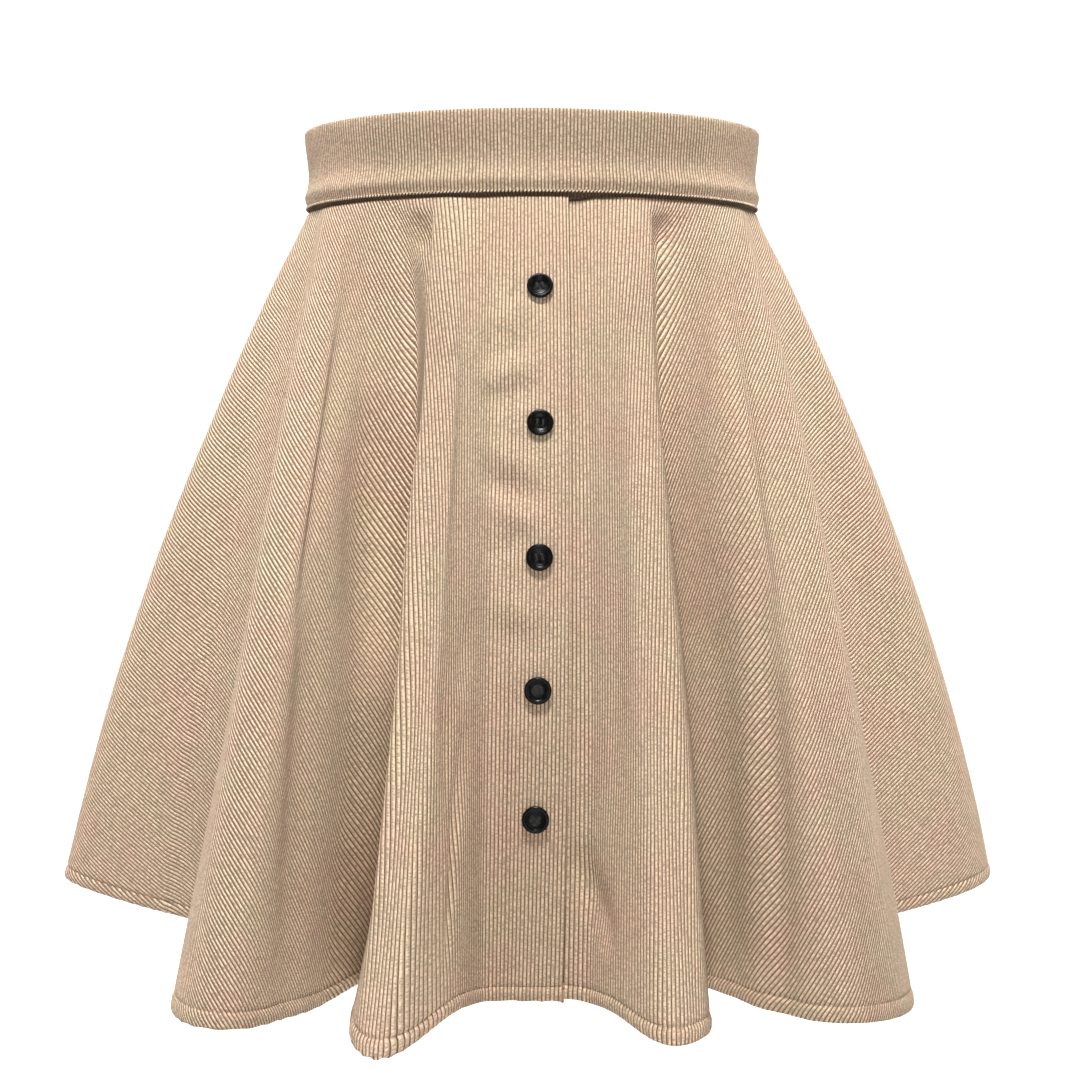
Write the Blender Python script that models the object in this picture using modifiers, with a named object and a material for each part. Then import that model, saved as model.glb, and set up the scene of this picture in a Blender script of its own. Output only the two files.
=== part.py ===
"""Corduroy A-line mini skirt with a mock button placket, as it is when worn.

The cloth is a wall lofted between the waist seam and the hem.  A table of
fold lines says where each crest, flank and valley starts round the waist,
and where it passes half way down and at the hem.  Every panel is a stretch
of that one surface, so that neighbours meet at their seams.

The front faces -Y, the wearer's left is +X and +Z is up.  The origin is the
centre of the waistband at half its height.
"""

import math
from typing import NamedTuple

import bmesh
import bpy
import numpy as np
from mathutils import Matrix, Vector

MM = 0.001
SEAM_GAP = 0.3 * MM
MERGE = 0.01 * MM

# The waist, an ellipse in plan, and the waistband round it.
WAIST_HALF_WIDTH = 126.5 * MM
WAIST_HALF_DEPTH = 90.0 * MM
BAND_HEIGHT = 46.0 * MM
BAND_WALL = 2.6 * MM
BAND_EDGE = 0.6 * MM
BAND_COLUMNS = 72

# The skirt's cloth.
SKIRT_LENGTH = 401.0 * MM
SKIRT_RECESS = 0.8 * MM
MEAN_RUN = 125.0 * MM
HEM_SWING = 0.35
HEM_TURN = 8.0 * MM
SKIRT_ROWS = 12
CLOTH_WALL = 1.5 * MM
PLACKET_WALL = 2.3 * MM
HEM_WALL = 2.1 * MM

# Side seams, each along a fold line, the lap and the loft's columns.
LEFT_SEAM = "side left back"
RIGHT_SEAM = "third right valley"
SEAM_COLUMN = 1.2 * MM
LAP_HALF = 15.0 * MM
LAP_COLUMNS = 3
COLUMN_STEP = 16.0 * MM
LEAST_COLUMNS = 3

# Buttons, and their distances below the waist seam along the cloth.
BUTTON_DROPS_MM = (48.0, 118.0, 184.0, 248.0, 310.0)
BUTTON_RADIUS_MM = 6.5
BUTTON_HEIGHT_MM = 2.4
BUTTON_SIDES = 20
HOLE_RADIUS_MM = 0.7
HOLE_OFFSET_MM = 1.4
HOLE_SIDES = 6
BUTTON_SEAT = 0.4 * MM

# The concealed zip in the wearer's left side seam.
ZIP_ROWS = 5
TAPE_HALF = 11.0 * MM
TAPE_WALL = 0.8 * MM
TAPE_GAP = 0.5 * MM
ZIP_SPLIT = 1.2 * MM
SLIDER_HEIGHT = 14.0 * MM
PIN_OUT_MM = 2.3
PIN_RADIUS_MM = 0.45
EYE_RADIUS_MM = 1.4
EYE_CLEARANCE_MM = 0.1
PULL_LENGTH_MM = 19.0
PULL_HALF_WIDTH_MM = 2.2
PULL_THICKNESS_MM = 1.0


class BandRow(NamedTuple):
    """One height of the waistband's outer face."""

    height: float  # above the band's middle, mm
    inset: float   # inside the waist ellipse, mm


BAND_ROWS = (
    BandRow(23.0, 0.2),
    BandRow(14.0, 0.6),
    BandRow(3.0, 1.8),
    BandRow(-7.0, 2.4),
    BandRow(-16.0, 1.2),
    BandRow(-23.0, 0.3),
)


class FoldLine(NamedTuple):
    """One crest, flank or valley: where it passes three levels of the skirt."""

    name: str
    waist: float       # start, round the waist from the front's middle, mm
    mid_across: float  # half way down, towards the wearer's left, mm
    mid_ahead: float   # half way down, towards the front, mm
    hem_across: float  # at the hem, towards the wearer's left, mm
    hem_ahead: float   # at the hem, towards the front, mm


FOLD_LINES = (
    FoldLine("placket", 4, 4, 150, 0, 162),
    FoldLine("centre left inner", 34, 35, 151, 36, 177),
    FoldLine("centre left crest", 51, 52, 158, 61, 233),
    FoldLine("centre left flank", 63, 62, 149, 76, 222),
    FoldLine("first left valley", 76, 68, 119, 79, 132),
    FoldLine("left lobe inner", 93, 90, 127, 100, 172),
    FoldLine("left lobe crest", 110, 118, 152, 144, 214),
    FoldLine("left lobe flank", 124, 145, 126, 175, 192),
    FoldLine("second left valley", 137, 144, 82, 166, 78),
    FoldLine("side left inner", 152, 168, 46, 206, 34),
    FoldLine("side left crest", 178, 211, -6, 270, -22),
    FoldLine("side left back", 194, 197, -38, 251, -58),
    FoldLine("third left valley", 210, 160, -54, 180, -72),
    FoldLine("back left crest", 238, 158, -108, 204, -152),
    FoldLine("back left flank", 254, 132, -122, 168, -176),
    FoldLine("fourth left valley", 270, 98, -114, 108, -142),
    FoldLine("back inner left crest", 294, 76, -154, 98, -226),
    FoldLine("back inner left flank", 309, 50, -157, 62, -232),
    FoldLine("back valley", 326, 24, -134, 26, -164),
    FoldLine("back middle crest", 350, -12, -162, -14, -244),
    FoldLine("back middle flank", 366, -40, -156, -52, -236),
    FoldLine("back valley two", 382, -56, -128, -64, -160),
    FoldLine("back right crest", 408, -98, -144, -124, -214),
    FoldLine("back right flank", 423, -120, -130, -156, -194),
    FoldLine("fourth right valley", 438, -124, -96, -136, -126),
    FoldLine("side right back", 462, -170, -84, -222, -122),
    FoldLine("side right flank", 476, -182, -58, -240, -86),
    FoldLine("third right valley", 490, -166, -32, -190, -50),
    FoldLine("side right crest", 512, -209, -2, -270, -22),
    FoldLine("side right inner", 536, -167, 50, -202, 36),
    FoldLine("second right valley", 551, -137, 82, -156, 78),
    FoldLine("right lobe flank", 564, -134, 126, -164, 194),
    FoldLine("right lobe crest", 578, -112, 154, -136, 222),
    FoldLine("right lobe inner", 595, -86, 127, -98, 176),
    FoldLine("first right valley", 611, -62, 117, -82, 126),
    FoldLine("centre right flank", 628, -53, 149, -75, 240),
    FoldLine("centre right crest", 641, -44, 159, -62, 252),
    FoldLine("centre right inner", 657, -31, 151, -34, 177),
)


def line_number(name):
    """Where a fold line is in the table."""
    return [line.name for line in FOLD_LINES].index(name)


class ButtonRow(NamedTuple):
    """One ring of a button's outline, from its face round to its back."""

    radius: float  # mm
    height: float  # above the button's back, mm


BUTTON_ROWS = (
    ButtonRow(0.0, 1.5),
    ButtonRow(4.0, 1.5),
    ButtonRow(4.8, 2.15),
    ButtonRow(5.6, BUTTON_HEIGHT_MM),
    ButtonRow(6.3, 1.95),
    ButtonRow(BUTTON_RADIUS_MM, 1.1),
    ButtonRow(5.6, 0.1),
    ButtonRow(0.0, 0.0),
)


class Waist:
    """The waist ellipse, measured round from the front's middle."""

    def __init__(self, samples=4000):
        self.angle = np.linspace(0.0, 2.0 * math.pi, samples)
        steps = np.linalg.norm(np.diff(self.on_ellipse(self.angle, 0.0), axis=0), axis=1)
        self.travelled = np.concatenate(([0.0], np.cumsum(steps)))
        self.length = self.travelled[-1]
        self.zip = FOLD_LINES[line_number(LEFT_SEAM)].waist * MM

    @staticmethod
    def on_ellipse(angle, inset):
        """Plan points at those angles, moved in by the inset."""
        across, ahead = np.sin(angle), -np.cos(angle)
        normal = np.stack((across / WAIST_HALF_WIDTH, ahead / WAIST_HALF_DEPTH), axis=-1)
        normal /= np.linalg.norm(normal, axis=-1, keepdims=True)
        points = np.stack((WAIST_HALF_WIDTH * across, WAIST_HALF_DEPTH * ahead), axis=-1)
        return points - normal * inset

    def at(self, distance, inset=0.0):
        """Plan points at those distances round the waist."""
        turned = np.interp(np.mod(distance, self.length), self.travelled, self.angle)
        return self.on_ellipse(turned, inset)

    def place(self, distance, height):
        """A frame on the waist: X points out, Y round the waist and Z up."""
        here = self.at(distance)
        out = Vector((*(here - self.at(distance, MM)), 0.0)).normalized()
        up = Vector((0.0, 0.0, 1.0))
        axes = Matrix((out, up.cross(out), up)).transposed().to_4x4()
        return Matrix.Translation((here[0], here[1], height)) @ axes


def closed_spline(knots, values, period, places):
    """Smooth closed curve through values at knots, read at places."""
    count = len(knots)
    gap = np.diff(np.append(knots, knots[0] + period))
    rise = (np.roll(values, -1, axis=0) - values) / gap[:, None]
    system = np.zeros((count, count))
    for i in range(count):
        system[i, i - 1] = gap[i - 1]
        system[i, i] = 2.0 * (gap[i - 1] + gap[i])
        system[i, (i + 1) % count] = gap[i]
    bend = np.linalg.solve(system, 6.0 * (rise - np.roll(rise, 1, axis=0)))
    places = np.mod(places, period)
    i = np.clip(np.searchsorted(knots, places, side="right") - 1, 0, count - 1)
    after = (i + 1) % count
    width = gap[i][:, None]
    ahead = (places - knots[i])[:, None]
    left = width - ahead
    return (
        bend[i] * left**3 / (6.0 * width)
        + bend[after] * ahead**3 / (6.0 * width)
        + (values[i] / width - bend[i] * width / 6.0) * left
        + (values[after] / width - bend[after] * width / 6.0) * ahead
    )


class Drape:
    """The skirt's outer face, between the waist seam and the hem."""

    def __init__(self, waist, samples=2400):
        starts = np.array([line.waist for line in FOLD_LINES]) * MM
        mid = np.array([(line.mid_across, -line.mid_ahead) for line in FOLD_LINES]) * MM
        hem = np.array([(line.hem_across, -line.hem_ahead) for line in FOLD_LINES]) * MM
        chords = sum(
            np.linalg.norm(np.roll(level, -1, axis=0) - level, axis=1)
            for level in (waist.at(starts), mid, hem)
        )
        self.lines = np.concatenate(([0.0], np.cumsum(chords))) / chords.sum()
        self.places = np.linspace(0.0, 1.0, samples)
        drift = (starts - self.lines[:-1] * waist.length)[:, None]
        reached = self.places * waist.length + self.through(drift)[:, 0]
        self.waist_points = waist.at(reached, SKIRT_RECESS)
        self.mid_points = self.through(mid)
        self.hem_points = self.through(hem)
        self.top = -BAND_HEIGHT / 2.0 - SEAM_GAP

    def through(self, values):
        """A closed curve through one value for each fold line."""
        return closed_spline(self.lines[:-1], values, 1.0, self.places)

    def ring(self, down):
        """Plan points of one level, and the distance travelled round it."""
        points = (
            (1.0 - down) * (1.0 - 2.0 * down) * self.waist_points
            + 4.0 * down * (1.0 - down) * self.mid_points
            + down * (2.0 * down - 1.0) * self.hem_points
        )
        steps = np.linalg.norm(np.diff(points, axis=0), axis=1)
        return points, np.concatenate(([0.0], np.cumsum(steps)))

    def columns(self, first, last):
        """Places of the loft's columns from one fold line to another."""
        travelled = self.ring(1.0)[1]
        at_lines = np.interp(self.lines, self.places, travelled)
        found = []
        for line in range(first, last):
            width = at_lines[line + 1] - at_lines[line]
            count = max(LEAST_COLUMNS, round(width / COLUMN_STEP))
            found.extend(np.linspace(self.lines[line], self.lines[line + 1], count + 1)[:-1])
        return np.append(found, self.lines[last])

    def grid(self, drops, places, nudges):
        """Points at those distances down the cloth, for each column.

        A column follows its place among the fold lines, moved on by its nudge.
        """
        levels = []
        for drop in drops:
            points, travelled = self.ring(drop / SKIRT_LENGTH)
            where = np.interp(places, self.places, travelled) + nudges
            where = np.mod(where, travelled[-1])
            plan = [np.interp(where, travelled, points[:, axis]) for axis in (0, 1)]
            levels.append(np.stack(plan, axis=1))
        plan = np.array(levels)
        slope = np.diff(drops)[:, None]
        run = np.linalg.norm(np.diff(plan, axis=0), axis=2)
        run = HEM_SWING * run + (1.0 - HEM_SWING) * MEAN_RUN / SKIRT_LENGTH * slope
        fall = np.cumsum(np.sqrt(slope**2 - run**2), axis=0)
        height = self.top - np.concatenate((np.zeros((1, plan.shape[1])), fall))
        return np.concatenate((plan, height[:, :, None]), axis=2)


def outward_normals(grid):
    """Unit normals of a grid of points, pointing away from the wearer."""
    normals = np.cross(np.gradient(grid, axis=0), np.gradient(grid, axis=1))
    return normals / np.linalg.norm(normals, axis=2, keepdims=True)


def skirt_drops():
    """Distances of the loft's rows down the cloth, the last one at the hem."""
    return np.append(np.linspace(0.0, SKIRT_LENGTH - HEM_TURN, SKIRT_ROWS), SKIRT_LENGTH)


def cloth_walls(grid):
    """Wall of a plain panel at each point, thicker at the turned hem."""
    walls = np.full(grid.shape[:2], CLOTH_WALL)
    walls[-2:] = HEM_WALL
    return walls


def plain_finish(name, colour, roughness, metallic=0.0):
    """A material of one colour."""
    made = bpy.data.materials.new(name)
    made.use_nodes = True
    shader = made.node_tree.nodes["Principled BSDF"]
    shader.inputs["Base Color"].default_value = (*colour, 1.0)
    shader.inputs["Roughness"].default_value = roughness
    shader.inputs["Metallic"].default_value = metallic
    return made


class Skirt:
    """Collects the skirt's named solids."""

    def __init__(self):
        self.parts = bpy.data.collections.new("a_line_skirt")
        self.tools = bpy.data.collections.new("cutters")
        for collection in (self.parts, self.tools):
            bpy.context.scene.collection.children.link(collection)
        self.corduroy = plain_finish("corduroy", (0.62, 0.43, 0.29), 0.95)
        self.resin = plain_finish("black_resin", (0.012, 0.012, 0.014), 0.35)
        self.tape = plain_finish("zip_tape", (0.55, 0.40, 0.28), 0.85)
        self.metal = plain_finish("zip_metal", (0.48, 0.40, 0.30), 0.35, 1.0)

    def add(self, name, mesh, finish):
        """Links a mesh as one of the skirt's solids."""
        made = bpy.data.objects.new(name, mesh)
        if not mesh.materials:
            mesh.materials.append(finish)
        self.parts.objects.link(made)
        return made

    def add_tool(self, name, mesh, matrix):
        """Links a mesh that only joins or cuts another one."""
        made = bpy.data.objects.new(name, mesh)
        made.hide_render = True
        made.display_type = "WIRE"
        made.matrix_world = matrix
        self.tools.objects.link(made)
        return made

    def add_sheet(self, name, grid, walls, finish):
        """A cloth wall whose outer face is the grid, with its own depth."""
        rows, columns = grid.shape[:2]
        shape = bmesh.new()
        bmesh.ops.create_grid(shape, x_segments=columns - 1, y_segments=rows - 1, size=1.0)
        depths = []
        for vert in shape.verts:
            column = round((vert.co.x + 1.0) / 2.0 * (columns - 1))
            row = round((1.0 - vert.co.y) / 2.0 * (rows - 1))
            vert.co = grid[row, column]
            depths.append(float(walls[row, column]))
        mesh = bpy.data.meshes.new(name)
        shape.to_mesh(mesh)
        shape.free()
        mesh.shade_smooth()
        made = self.add(name, mesh, finish)
        group = made.vertex_groups.new(name="wall")
        thickest = max(depths)
        for index, depth in enumerate(depths):
            group.add([index], depth / thickest, "REPLACE")
        shell = made.modifiers.new("Wall", "SOLIDIFY")
        shell.thickness = thickest
        shell.offset = -1.0
        shell.vertex_group = group.name
        return made


def make_waistband(skirt, waist):
    """The folded strip, whose two ends meet at the zip."""
    start = waist.zip + ZIP_SPLIT / 2.0
    distances = np.linspace(start, start + waist.length - ZIP_SPLIT, BAND_COLUMNS + 1)
    rows = []
    for row in BAND_ROWS:
        plan = waist.at(distances, row.inset * MM)
        rows.append(np.column_stack((plan, np.full(len(plan), row.height * MM))))
    grid = np.array(rows)
    band = skirt.add_sheet("waistband", grid, np.full(grid.shape[:2], BAND_WALL), skirt.corduroy)
    edge = band.modifiers.new("Folded edges", "BEVEL")
    edge.width = BAND_EDGE
    edge.segments = 1
    edge.limit_method = "ANGLE"
    edge.angle_limit = math.radians(60.0)
    return band


def end_at_seam(places, nudges, side):
    """Adds the narrow last column of a panel, at its first or last place."""
    inward = 1.0 if side == 0 else -1.0
    end = 0 if side == 0 else len(places) - 1
    nudges[end] += inward * (SEAM_GAP / 2.0 + SEAM_COLUMN)
    place_at = end if side == 0 else end + 1
    places = np.insert(places, place_at, places[end])
    nudges = np.insert(nudges, place_at, inward * SEAM_GAP / 2.0)
    return places, nudges


def make_front_right(skirt, drape):
    """The wearer's right front, which ends in the thicker placket edge."""
    last = len(FOLD_LINES)
    places = drape.columns(line_number(RIGHT_SEAM), last)
    start = drape.lines[last - 1]
    nudges = -LAP_HALF * np.clip((places - start) / (1.0 - start), 0.0, 1.0)
    places, nudges = end_at_seam(places, nudges, 0)
    lap = np.linspace(-LAP_HALF, LAP_HALF, LAP_COLUMNS + 1)[1:]
    places = np.append(places, np.zeros(LAP_COLUMNS))
    grid = drape.grid(skirt_drops(), places, np.append(nudges, lap))
    walls = cloth_walls(grid)
    walls[:, -LAP_COLUMNS - 1:] = PLACKET_WALL
    return skirt.add_sheet("front_right", grid, walls, skirt.corduroy)


def make_front_left(skirt, drape):
    """The wearer's left front, which runs on behind the placket."""
    lap = np.linspace(-LAP_HALF, LAP_HALF, LAP_COLUMNS + 1)
    across = drape.columns(0, line_number(LEFT_SEAM))[1:]
    past_lap = np.clip(across / drape.lines[1], 0.0, 1.0)
    places = np.append(np.zeros(len(lap)), across)
    nudges = np.append(lap, LAP_HALF * (1.0 - past_lap))
    places, nudges = end_at_seam(places, nudges, 1)
    easing = 1.0 - past_lap**2 * (3.0 - 2.0 * past_lap)
    depth = np.concatenate((np.ones(len(lap)), easing, [0.0]))
    grid = drape.grid(skirt_drops(), places, nudges)
    grid -= outward_normals(grid) * (depth * (PLACKET_WALL + SEAM_GAP))[None, :, None]
    return skirt.add_sheet("front_left", grid, cloth_walls(grid), skirt.corduroy)


def make_back(skirt, drape):
    """The back, cut in one."""
    places = drape.columns(line_number(LEFT_SEAM), line_number(RIGHT_SEAM))
    nudges = np.zeros(len(places))
    for side in (0, 1):
        places, nudges = end_at_seam(places, nudges, side)
    grid = drape.grid(skirt_drops(), places, nudges)
    return skirt.add_sheet("back", grid, cloth_walls(grid), skirt.corduroy)


def block(low, high):
    """A box between two corners given in millimetres."""
    shape = bmesh.new()
    bmesh.ops.create_cube(shape, size=1.0)
    low, high = Vector(low) * MM, Vector(high) * MM
    for vert in shape.verts:
        vert.co = Vector(
            low[axis] + (vert.co[axis] + 0.5) * (high[axis] - low[axis]) for axis in range(3)
        )
    mesh = bpy.data.meshes.new("block")
    shape.to_mesh(mesh)
    shape.free()
    return mesh


def rod(radius, half_length, centre, sides, upright=False):
    """A cylinder in millimetres, along Y or, upright, along Z."""
    shape = bmesh.new()
    turn = Matrix.Identity(4) if upright else Matrix.Rotation(math.radians(90.0), 4, "X")
    bmesh.ops.create_cone(
        shape,
        cap_ends=True,
        segments=sides,
        radius1=radius * MM,
        radius2=radius * MM,
        depth=2.0 * half_length * MM,
        matrix=Matrix.Translation(Vector(centre) * MM) @ turn,
    )
    mesh = bpy.data.meshes.new("rod")
    shape.to_mesh(mesh)
    shape.free()
    return mesh


def combine(target, tool, operation):
    """A Boolean on the target."""
    modifier = target.modifiers.new(operation.title(), "BOOLEAN")
    modifier.operation = operation
    modifier.object = tool


def settled_mesh(made):
    """The object's mesh with its modifiers applied."""
    graph = bpy.context.evaluated_depsgraph_get()
    return bpy.data.meshes.new_from_object(made.evaluated_get(graph))


def button_mesh(skirt):
    """A turned button with a raised rim and four sewing holes."""
    profile = bpy.data.meshes.new("button_profile")
    points = [(row.radius * MM, 0.0, row.height * MM) for row in BUTTON_ROWS]
    profile.from_pydata(points, [(i, i + 1) for i in range(len(points) - 1)], [])
    master = skirt.add("button_master", profile, skirt.resin)
    turned = master.modifiers.new("Turn", "SCREW")
    turned.steps = turned.render_steps = BUTTON_SIDES
    turned.use_merge_vertices = True
    turned.merge_threshold = MERGE
    holes = []
    for x in (-HOLE_OFFSET_MM, HOLE_OFFSET_MM):
        for y in (-HOLE_OFFSET_MM, HOLE_OFFSET_MM):
            drill = rod(HOLE_RADIUS_MM, 2.0 * BUTTON_HEIGHT_MM, (x, y, 0.0), HOLE_SIDES, True)
            holes.append(skirt.add_tool("button_hole", drill, Matrix.Identity(4)))
            combine(master, holes[-1], "DIFFERENCE")
    mesh = settled_mesh(master)
    for spent in (master, *holes):
        bpy.data.objects.remove(spent)
    mesh.name = "button"
    return mesh


def make_buttons(skirt, drape):
    """Five buttons down the middle of the placket."""
    mesh = button_mesh(skirt)
    reach = BUTTON_RADIUS_MM * MM
    for number, drop in enumerate(BUTTON_DROPS_MM, start=1):
        above = np.linspace(0.0, drop * MM - reach, SKIRT_ROWS)
        drops = np.append(above, (drop * MM, drop * MM + reach))
        patch = drape.grid(drops, np.zeros(3), np.array([-reach, 0.0, reach]))[-3:]
        out = Vector(outward_normals(patch)[1, 1])
        here = Vector(patch[1, 1])
        highest = max((Vector(point) - here).dot(out) for point in patch.reshape(-1, 3))
        up = Vector(patch[0, 1] - patch[2, 1])
        up = (up - out * up.dot(out)).normalized()
        button = skirt.add(f"button_{number}", mesh.copy(), skirt.resin)
        turn = Matrix((up.cross(out), up, out)).transposed().to_4x4()
        button.matrix_world = Matrix.Translation(here + out * (highest + BUTTON_SEAT)) @ turn


def make_zip_tape(skirt, drape):
    """The zip's tape, along the inside of the side seam."""
    nudges = np.linspace(-TAPE_HALF, TAPE_HALF, LAP_COLUMNS + 2)
    places = np.full(len(nudges), drape.lines[line_number(LEFT_SEAM)])
    grid = drape.grid(skirt_drops()[:ZIP_ROWS], places, nudges)
    grid -= outward_normals(grid) * (CLOTH_WALL + TAPE_GAP)
    return skirt.add_sheet("zip_tape", grid, np.full(grid.shape[:2], TAPE_WALL), skirt.tape)


def make_zip_slider(skirt, frame):
    """The closed zip's slider, with the ears and pin that carry the pull."""
    slider = skirt.add("zip_slider", block((-6.6, -3.0, -4.5), (-4.1, 3.0, 4.5)), skirt.metal)
    slider.matrix_world = frame
    joined = (
        block((-4.5, -0.3, -3.0), (0.3, 0.3, 3.0)),
        block((-0.1, -1.6, -3.6), (0.5, 1.6, 3.6)),
        block((0.3, -1.6, -1.0), (PIN_OUT_MM + 0.9, -1.1, 1.0)),
        block((0.3, 1.1, -1.0), (PIN_OUT_MM + 0.9, 1.6, 1.0)),
        rod(PIN_RADIUS_MM, 1.4, (PIN_OUT_MM, 0.0, 0.0), 16),
    )
    for mesh in joined:
        combine(slider, skirt.add_tool("slider_part", mesh, frame), "UNION")
    return slider


def make_zip_pull(skirt, frame):
    """The pull tab, whose origin is the slider's pin that it hangs from."""
    pin_frame = frame @ Matrix.Translation((PIN_OUT_MM * MM, 0.0, 0.0))
    curve = bpy.data.curves.new("pull_outline", "CURVE")
    curve.dimensions = "2D"
    curve.fill_mode = "BOTH"
    curve.extrude = PULL_THICKNESS_MM / 2.0 * MM
    stem, wide, end = 0.8, PULL_HALF_WIDTH_MM, PULL_HALF_WIDTH_MM - PULL_LENGTH_MM
    half = [(stem, -0.9), (stem, -3.2), (1.5, -5.2)]
    bow = [math.radians(degrees) for degrees in range(0, 181, 20)]
    round_end = [(wide * math.cos(turn), end - wide * math.sin(turn)) for turn in bow]
    outline = half + round_end + [(-x, y) for x, y in reversed(half)]
    spline = curve.splines.new("POLY")
    spline.points.add(len(outline) - 1)
    for point, (x, y) in zip(spline.points, outline):
        point.co = (x * MM, y * MM, 0.0, 1.0)
    spline.use_cyclic_u = True
    flat = bpy.data.objects.new("pull_outline", curve)
    skirt.tools.objects.link(flat)
    bpy.context.view_layer.update()
    tab = settled_mesh(flat)
    bpy.data.objects.remove(flat)
    shape = bmesh.new()
    shape.from_mesh(tab)
    bmesh.ops.remove_doubles(shape, verts=shape.verts, dist=MERGE)
    upright = Matrix(((0, 0, 1), (1, 0, 0), (0, 1, 0))).to_4x4()
    bmesh.ops.transform(shape, matrix=upright, verts=shape.verts)
    shape.to_mesh(tab)
    shape.free()
    pull = skirt.add("zip_pull", tab, skirt.metal)
    pull.matrix_world = pin_frame
    eye = skirt.add_tool("pull_eye", rod(EYE_RADIUS_MM, 0.8, (0, 0, 0), 16), pin_frame)
    bore_radius = PIN_RADIUS_MM + EYE_CLEARANCE_MM
    bore = skirt.add_tool("pull_bore", rod(bore_radius, 2.0, (0, 0, 0), 16), pin_frame)
    combine(pull, eye, "UNION")
    combine(pull, bore, "DIFFERENCE")
    return pull


def main():
    """Builds the skirt."""
    for old in list(bpy.data.objects):
        bpy.data.objects.remove(old)
    skirt = Skirt()
    waist = Waist()
    drape = Drape(waist)
    make_waistband(skirt, waist)
    make_front_right(skirt, drape)
    make_front_left(skirt, drape)
    make_back(skirt, drape)
    make_buttons(skirt, drape)
    make_zip_tape(skirt, drape)
    frame = waist.place(waist.zip, SLIDER_HEIGHT)
    make_zip_slider(skirt, frame)
    make_zip_pull(skirt, frame)


if __name__ == "__main__":
    main()
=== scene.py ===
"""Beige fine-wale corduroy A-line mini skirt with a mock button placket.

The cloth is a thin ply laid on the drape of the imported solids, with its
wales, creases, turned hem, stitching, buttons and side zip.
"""

import logging
import math
from dataclasses import dataclass, field
from enum import Enum

import bmesh
import bpy
import numpy as np
from mathutils import Matrix, Vector, noise


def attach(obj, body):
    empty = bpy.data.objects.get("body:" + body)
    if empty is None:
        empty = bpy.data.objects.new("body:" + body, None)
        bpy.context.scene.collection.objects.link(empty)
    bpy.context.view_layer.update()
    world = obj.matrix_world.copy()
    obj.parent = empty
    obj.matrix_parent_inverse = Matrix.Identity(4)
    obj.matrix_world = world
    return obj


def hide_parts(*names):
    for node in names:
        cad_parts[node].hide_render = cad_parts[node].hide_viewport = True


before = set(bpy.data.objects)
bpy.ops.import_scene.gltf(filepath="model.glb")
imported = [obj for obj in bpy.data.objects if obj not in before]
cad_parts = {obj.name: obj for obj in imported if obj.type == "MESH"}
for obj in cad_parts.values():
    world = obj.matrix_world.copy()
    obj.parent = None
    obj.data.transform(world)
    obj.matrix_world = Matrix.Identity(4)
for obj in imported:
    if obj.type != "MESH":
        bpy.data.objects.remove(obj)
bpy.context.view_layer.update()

MM = 0.001
SKIRT_BODY = "skirt"

log = logging.getLogger("skirt")

Grid = np.ndarray


# --------------------------------------------------------------------------
# The drape: the same fold table and surface as the solids have
# --------------------------------------------------------------------------


@dataclass(frozen=True)
class FoldLine:
    """A crest, flank or valley, by where it passes three levels, in mm."""

    name: str
    waist: float
    mid_across: float
    mid_ahead: float
    hem_across: float
    hem_ahead: float


FOLD_LINES: tuple[FoldLine, ...] = (
    FoldLine("placket", 4, 4, 150, 0, 162),
    FoldLine("centre left inner", 34, 35, 151, 36, 177),
    FoldLine("centre left crest", 51, 52, 158, 61, 233),
    FoldLine("centre left flank", 63, 62, 149, 76, 222),
    FoldLine("first left valley", 76, 68, 119, 79, 132),
    FoldLine("left lobe inner", 93, 90, 127, 100, 172),
    FoldLine("left lobe crest", 110, 118, 152, 144, 214),
    FoldLine("left lobe flank", 124, 145, 126, 175, 192),
    FoldLine("second left valley", 137, 144, 82, 166, 78),
    FoldLine("side left inner", 152, 168, 46, 206, 34),
    FoldLine("side left crest", 178, 211, -6, 270, -22),
    FoldLine("side left back", 194, 197, -38, 251, -58),
    FoldLine("third left valley", 210, 160, -54, 180, -72),
    FoldLine("back left crest", 238, 158, -108, 204, -152),
    FoldLine("back left flank", 254, 132, -122, 168, -176),
    FoldLine("fourth left valley", 270, 98, -114, 108, -142),
    FoldLine("back inner left crest", 294, 76, -154, 98, -226),
    FoldLine("back inner left flank", 309, 50, -157, 62, -232),
    FoldLine("back valley", 326, 24, -134, 26, -164),
    FoldLine("back middle crest", 350, -12, -162, -14, -244),
    FoldLine("back middle flank", 366, -40, -156, -52, -236),
    FoldLine("back valley two", 382, -56, -128, -64, -160),
    FoldLine("back right crest", 408, -98, -144, -124, -214),
    FoldLine("back right flank", 423, -120, -130, -156, -194),
    FoldLine("fourth right valley", 438, -124, -96, -136, -126),
    FoldLine("side right back", 462, -170, -84, -222, -122),
    FoldLine("side right flank", 476, -182, -58, -240, -86),
    FoldLine("third right valley", 490, -166, -32, -190, -50),
    FoldLine("side right crest", 512, -209, -2, -270, -22),
    FoldLine("side right inner", 536, -167, 50, -202, 36),
    FoldLine("second right valley", 551, -137, 82, -156, 78),
    FoldLine("right lobe flank", 564, -134, 126, -164, 194),
    FoldLine("right lobe crest", 578, -112, 154, -136, 222),
    FoldLine("right lobe inner", 595, -86, 127, -98, 176),
    FoldLine("first right valley", 611, -62, 117, -82, 126),
    FoldLine("centre right flank", 628, -53, 149, -75, 240),
    FoldLine("centre right crest", 641, -44, 159, -62, 252),
    FoldLine("centre right inner", 657, -31, 151, -34, 177),
)
LEFT_SEAM = "side left back"
RIGHT_SEAM = "third right valley"
# The gaps after these lines hold the centre lobe's tucks.
CLOSE_GAPS = ("centre left crest", "centre left flank", "first right valley", "centre right flank")


def line_number(name: str) -> int:
    """Finds a fold line.

    Args:
        name: The fold line's name.

    Returns:
        Its place in the table.
    """
    return [line.name for line in FOLD_LINES].index(name)


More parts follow.
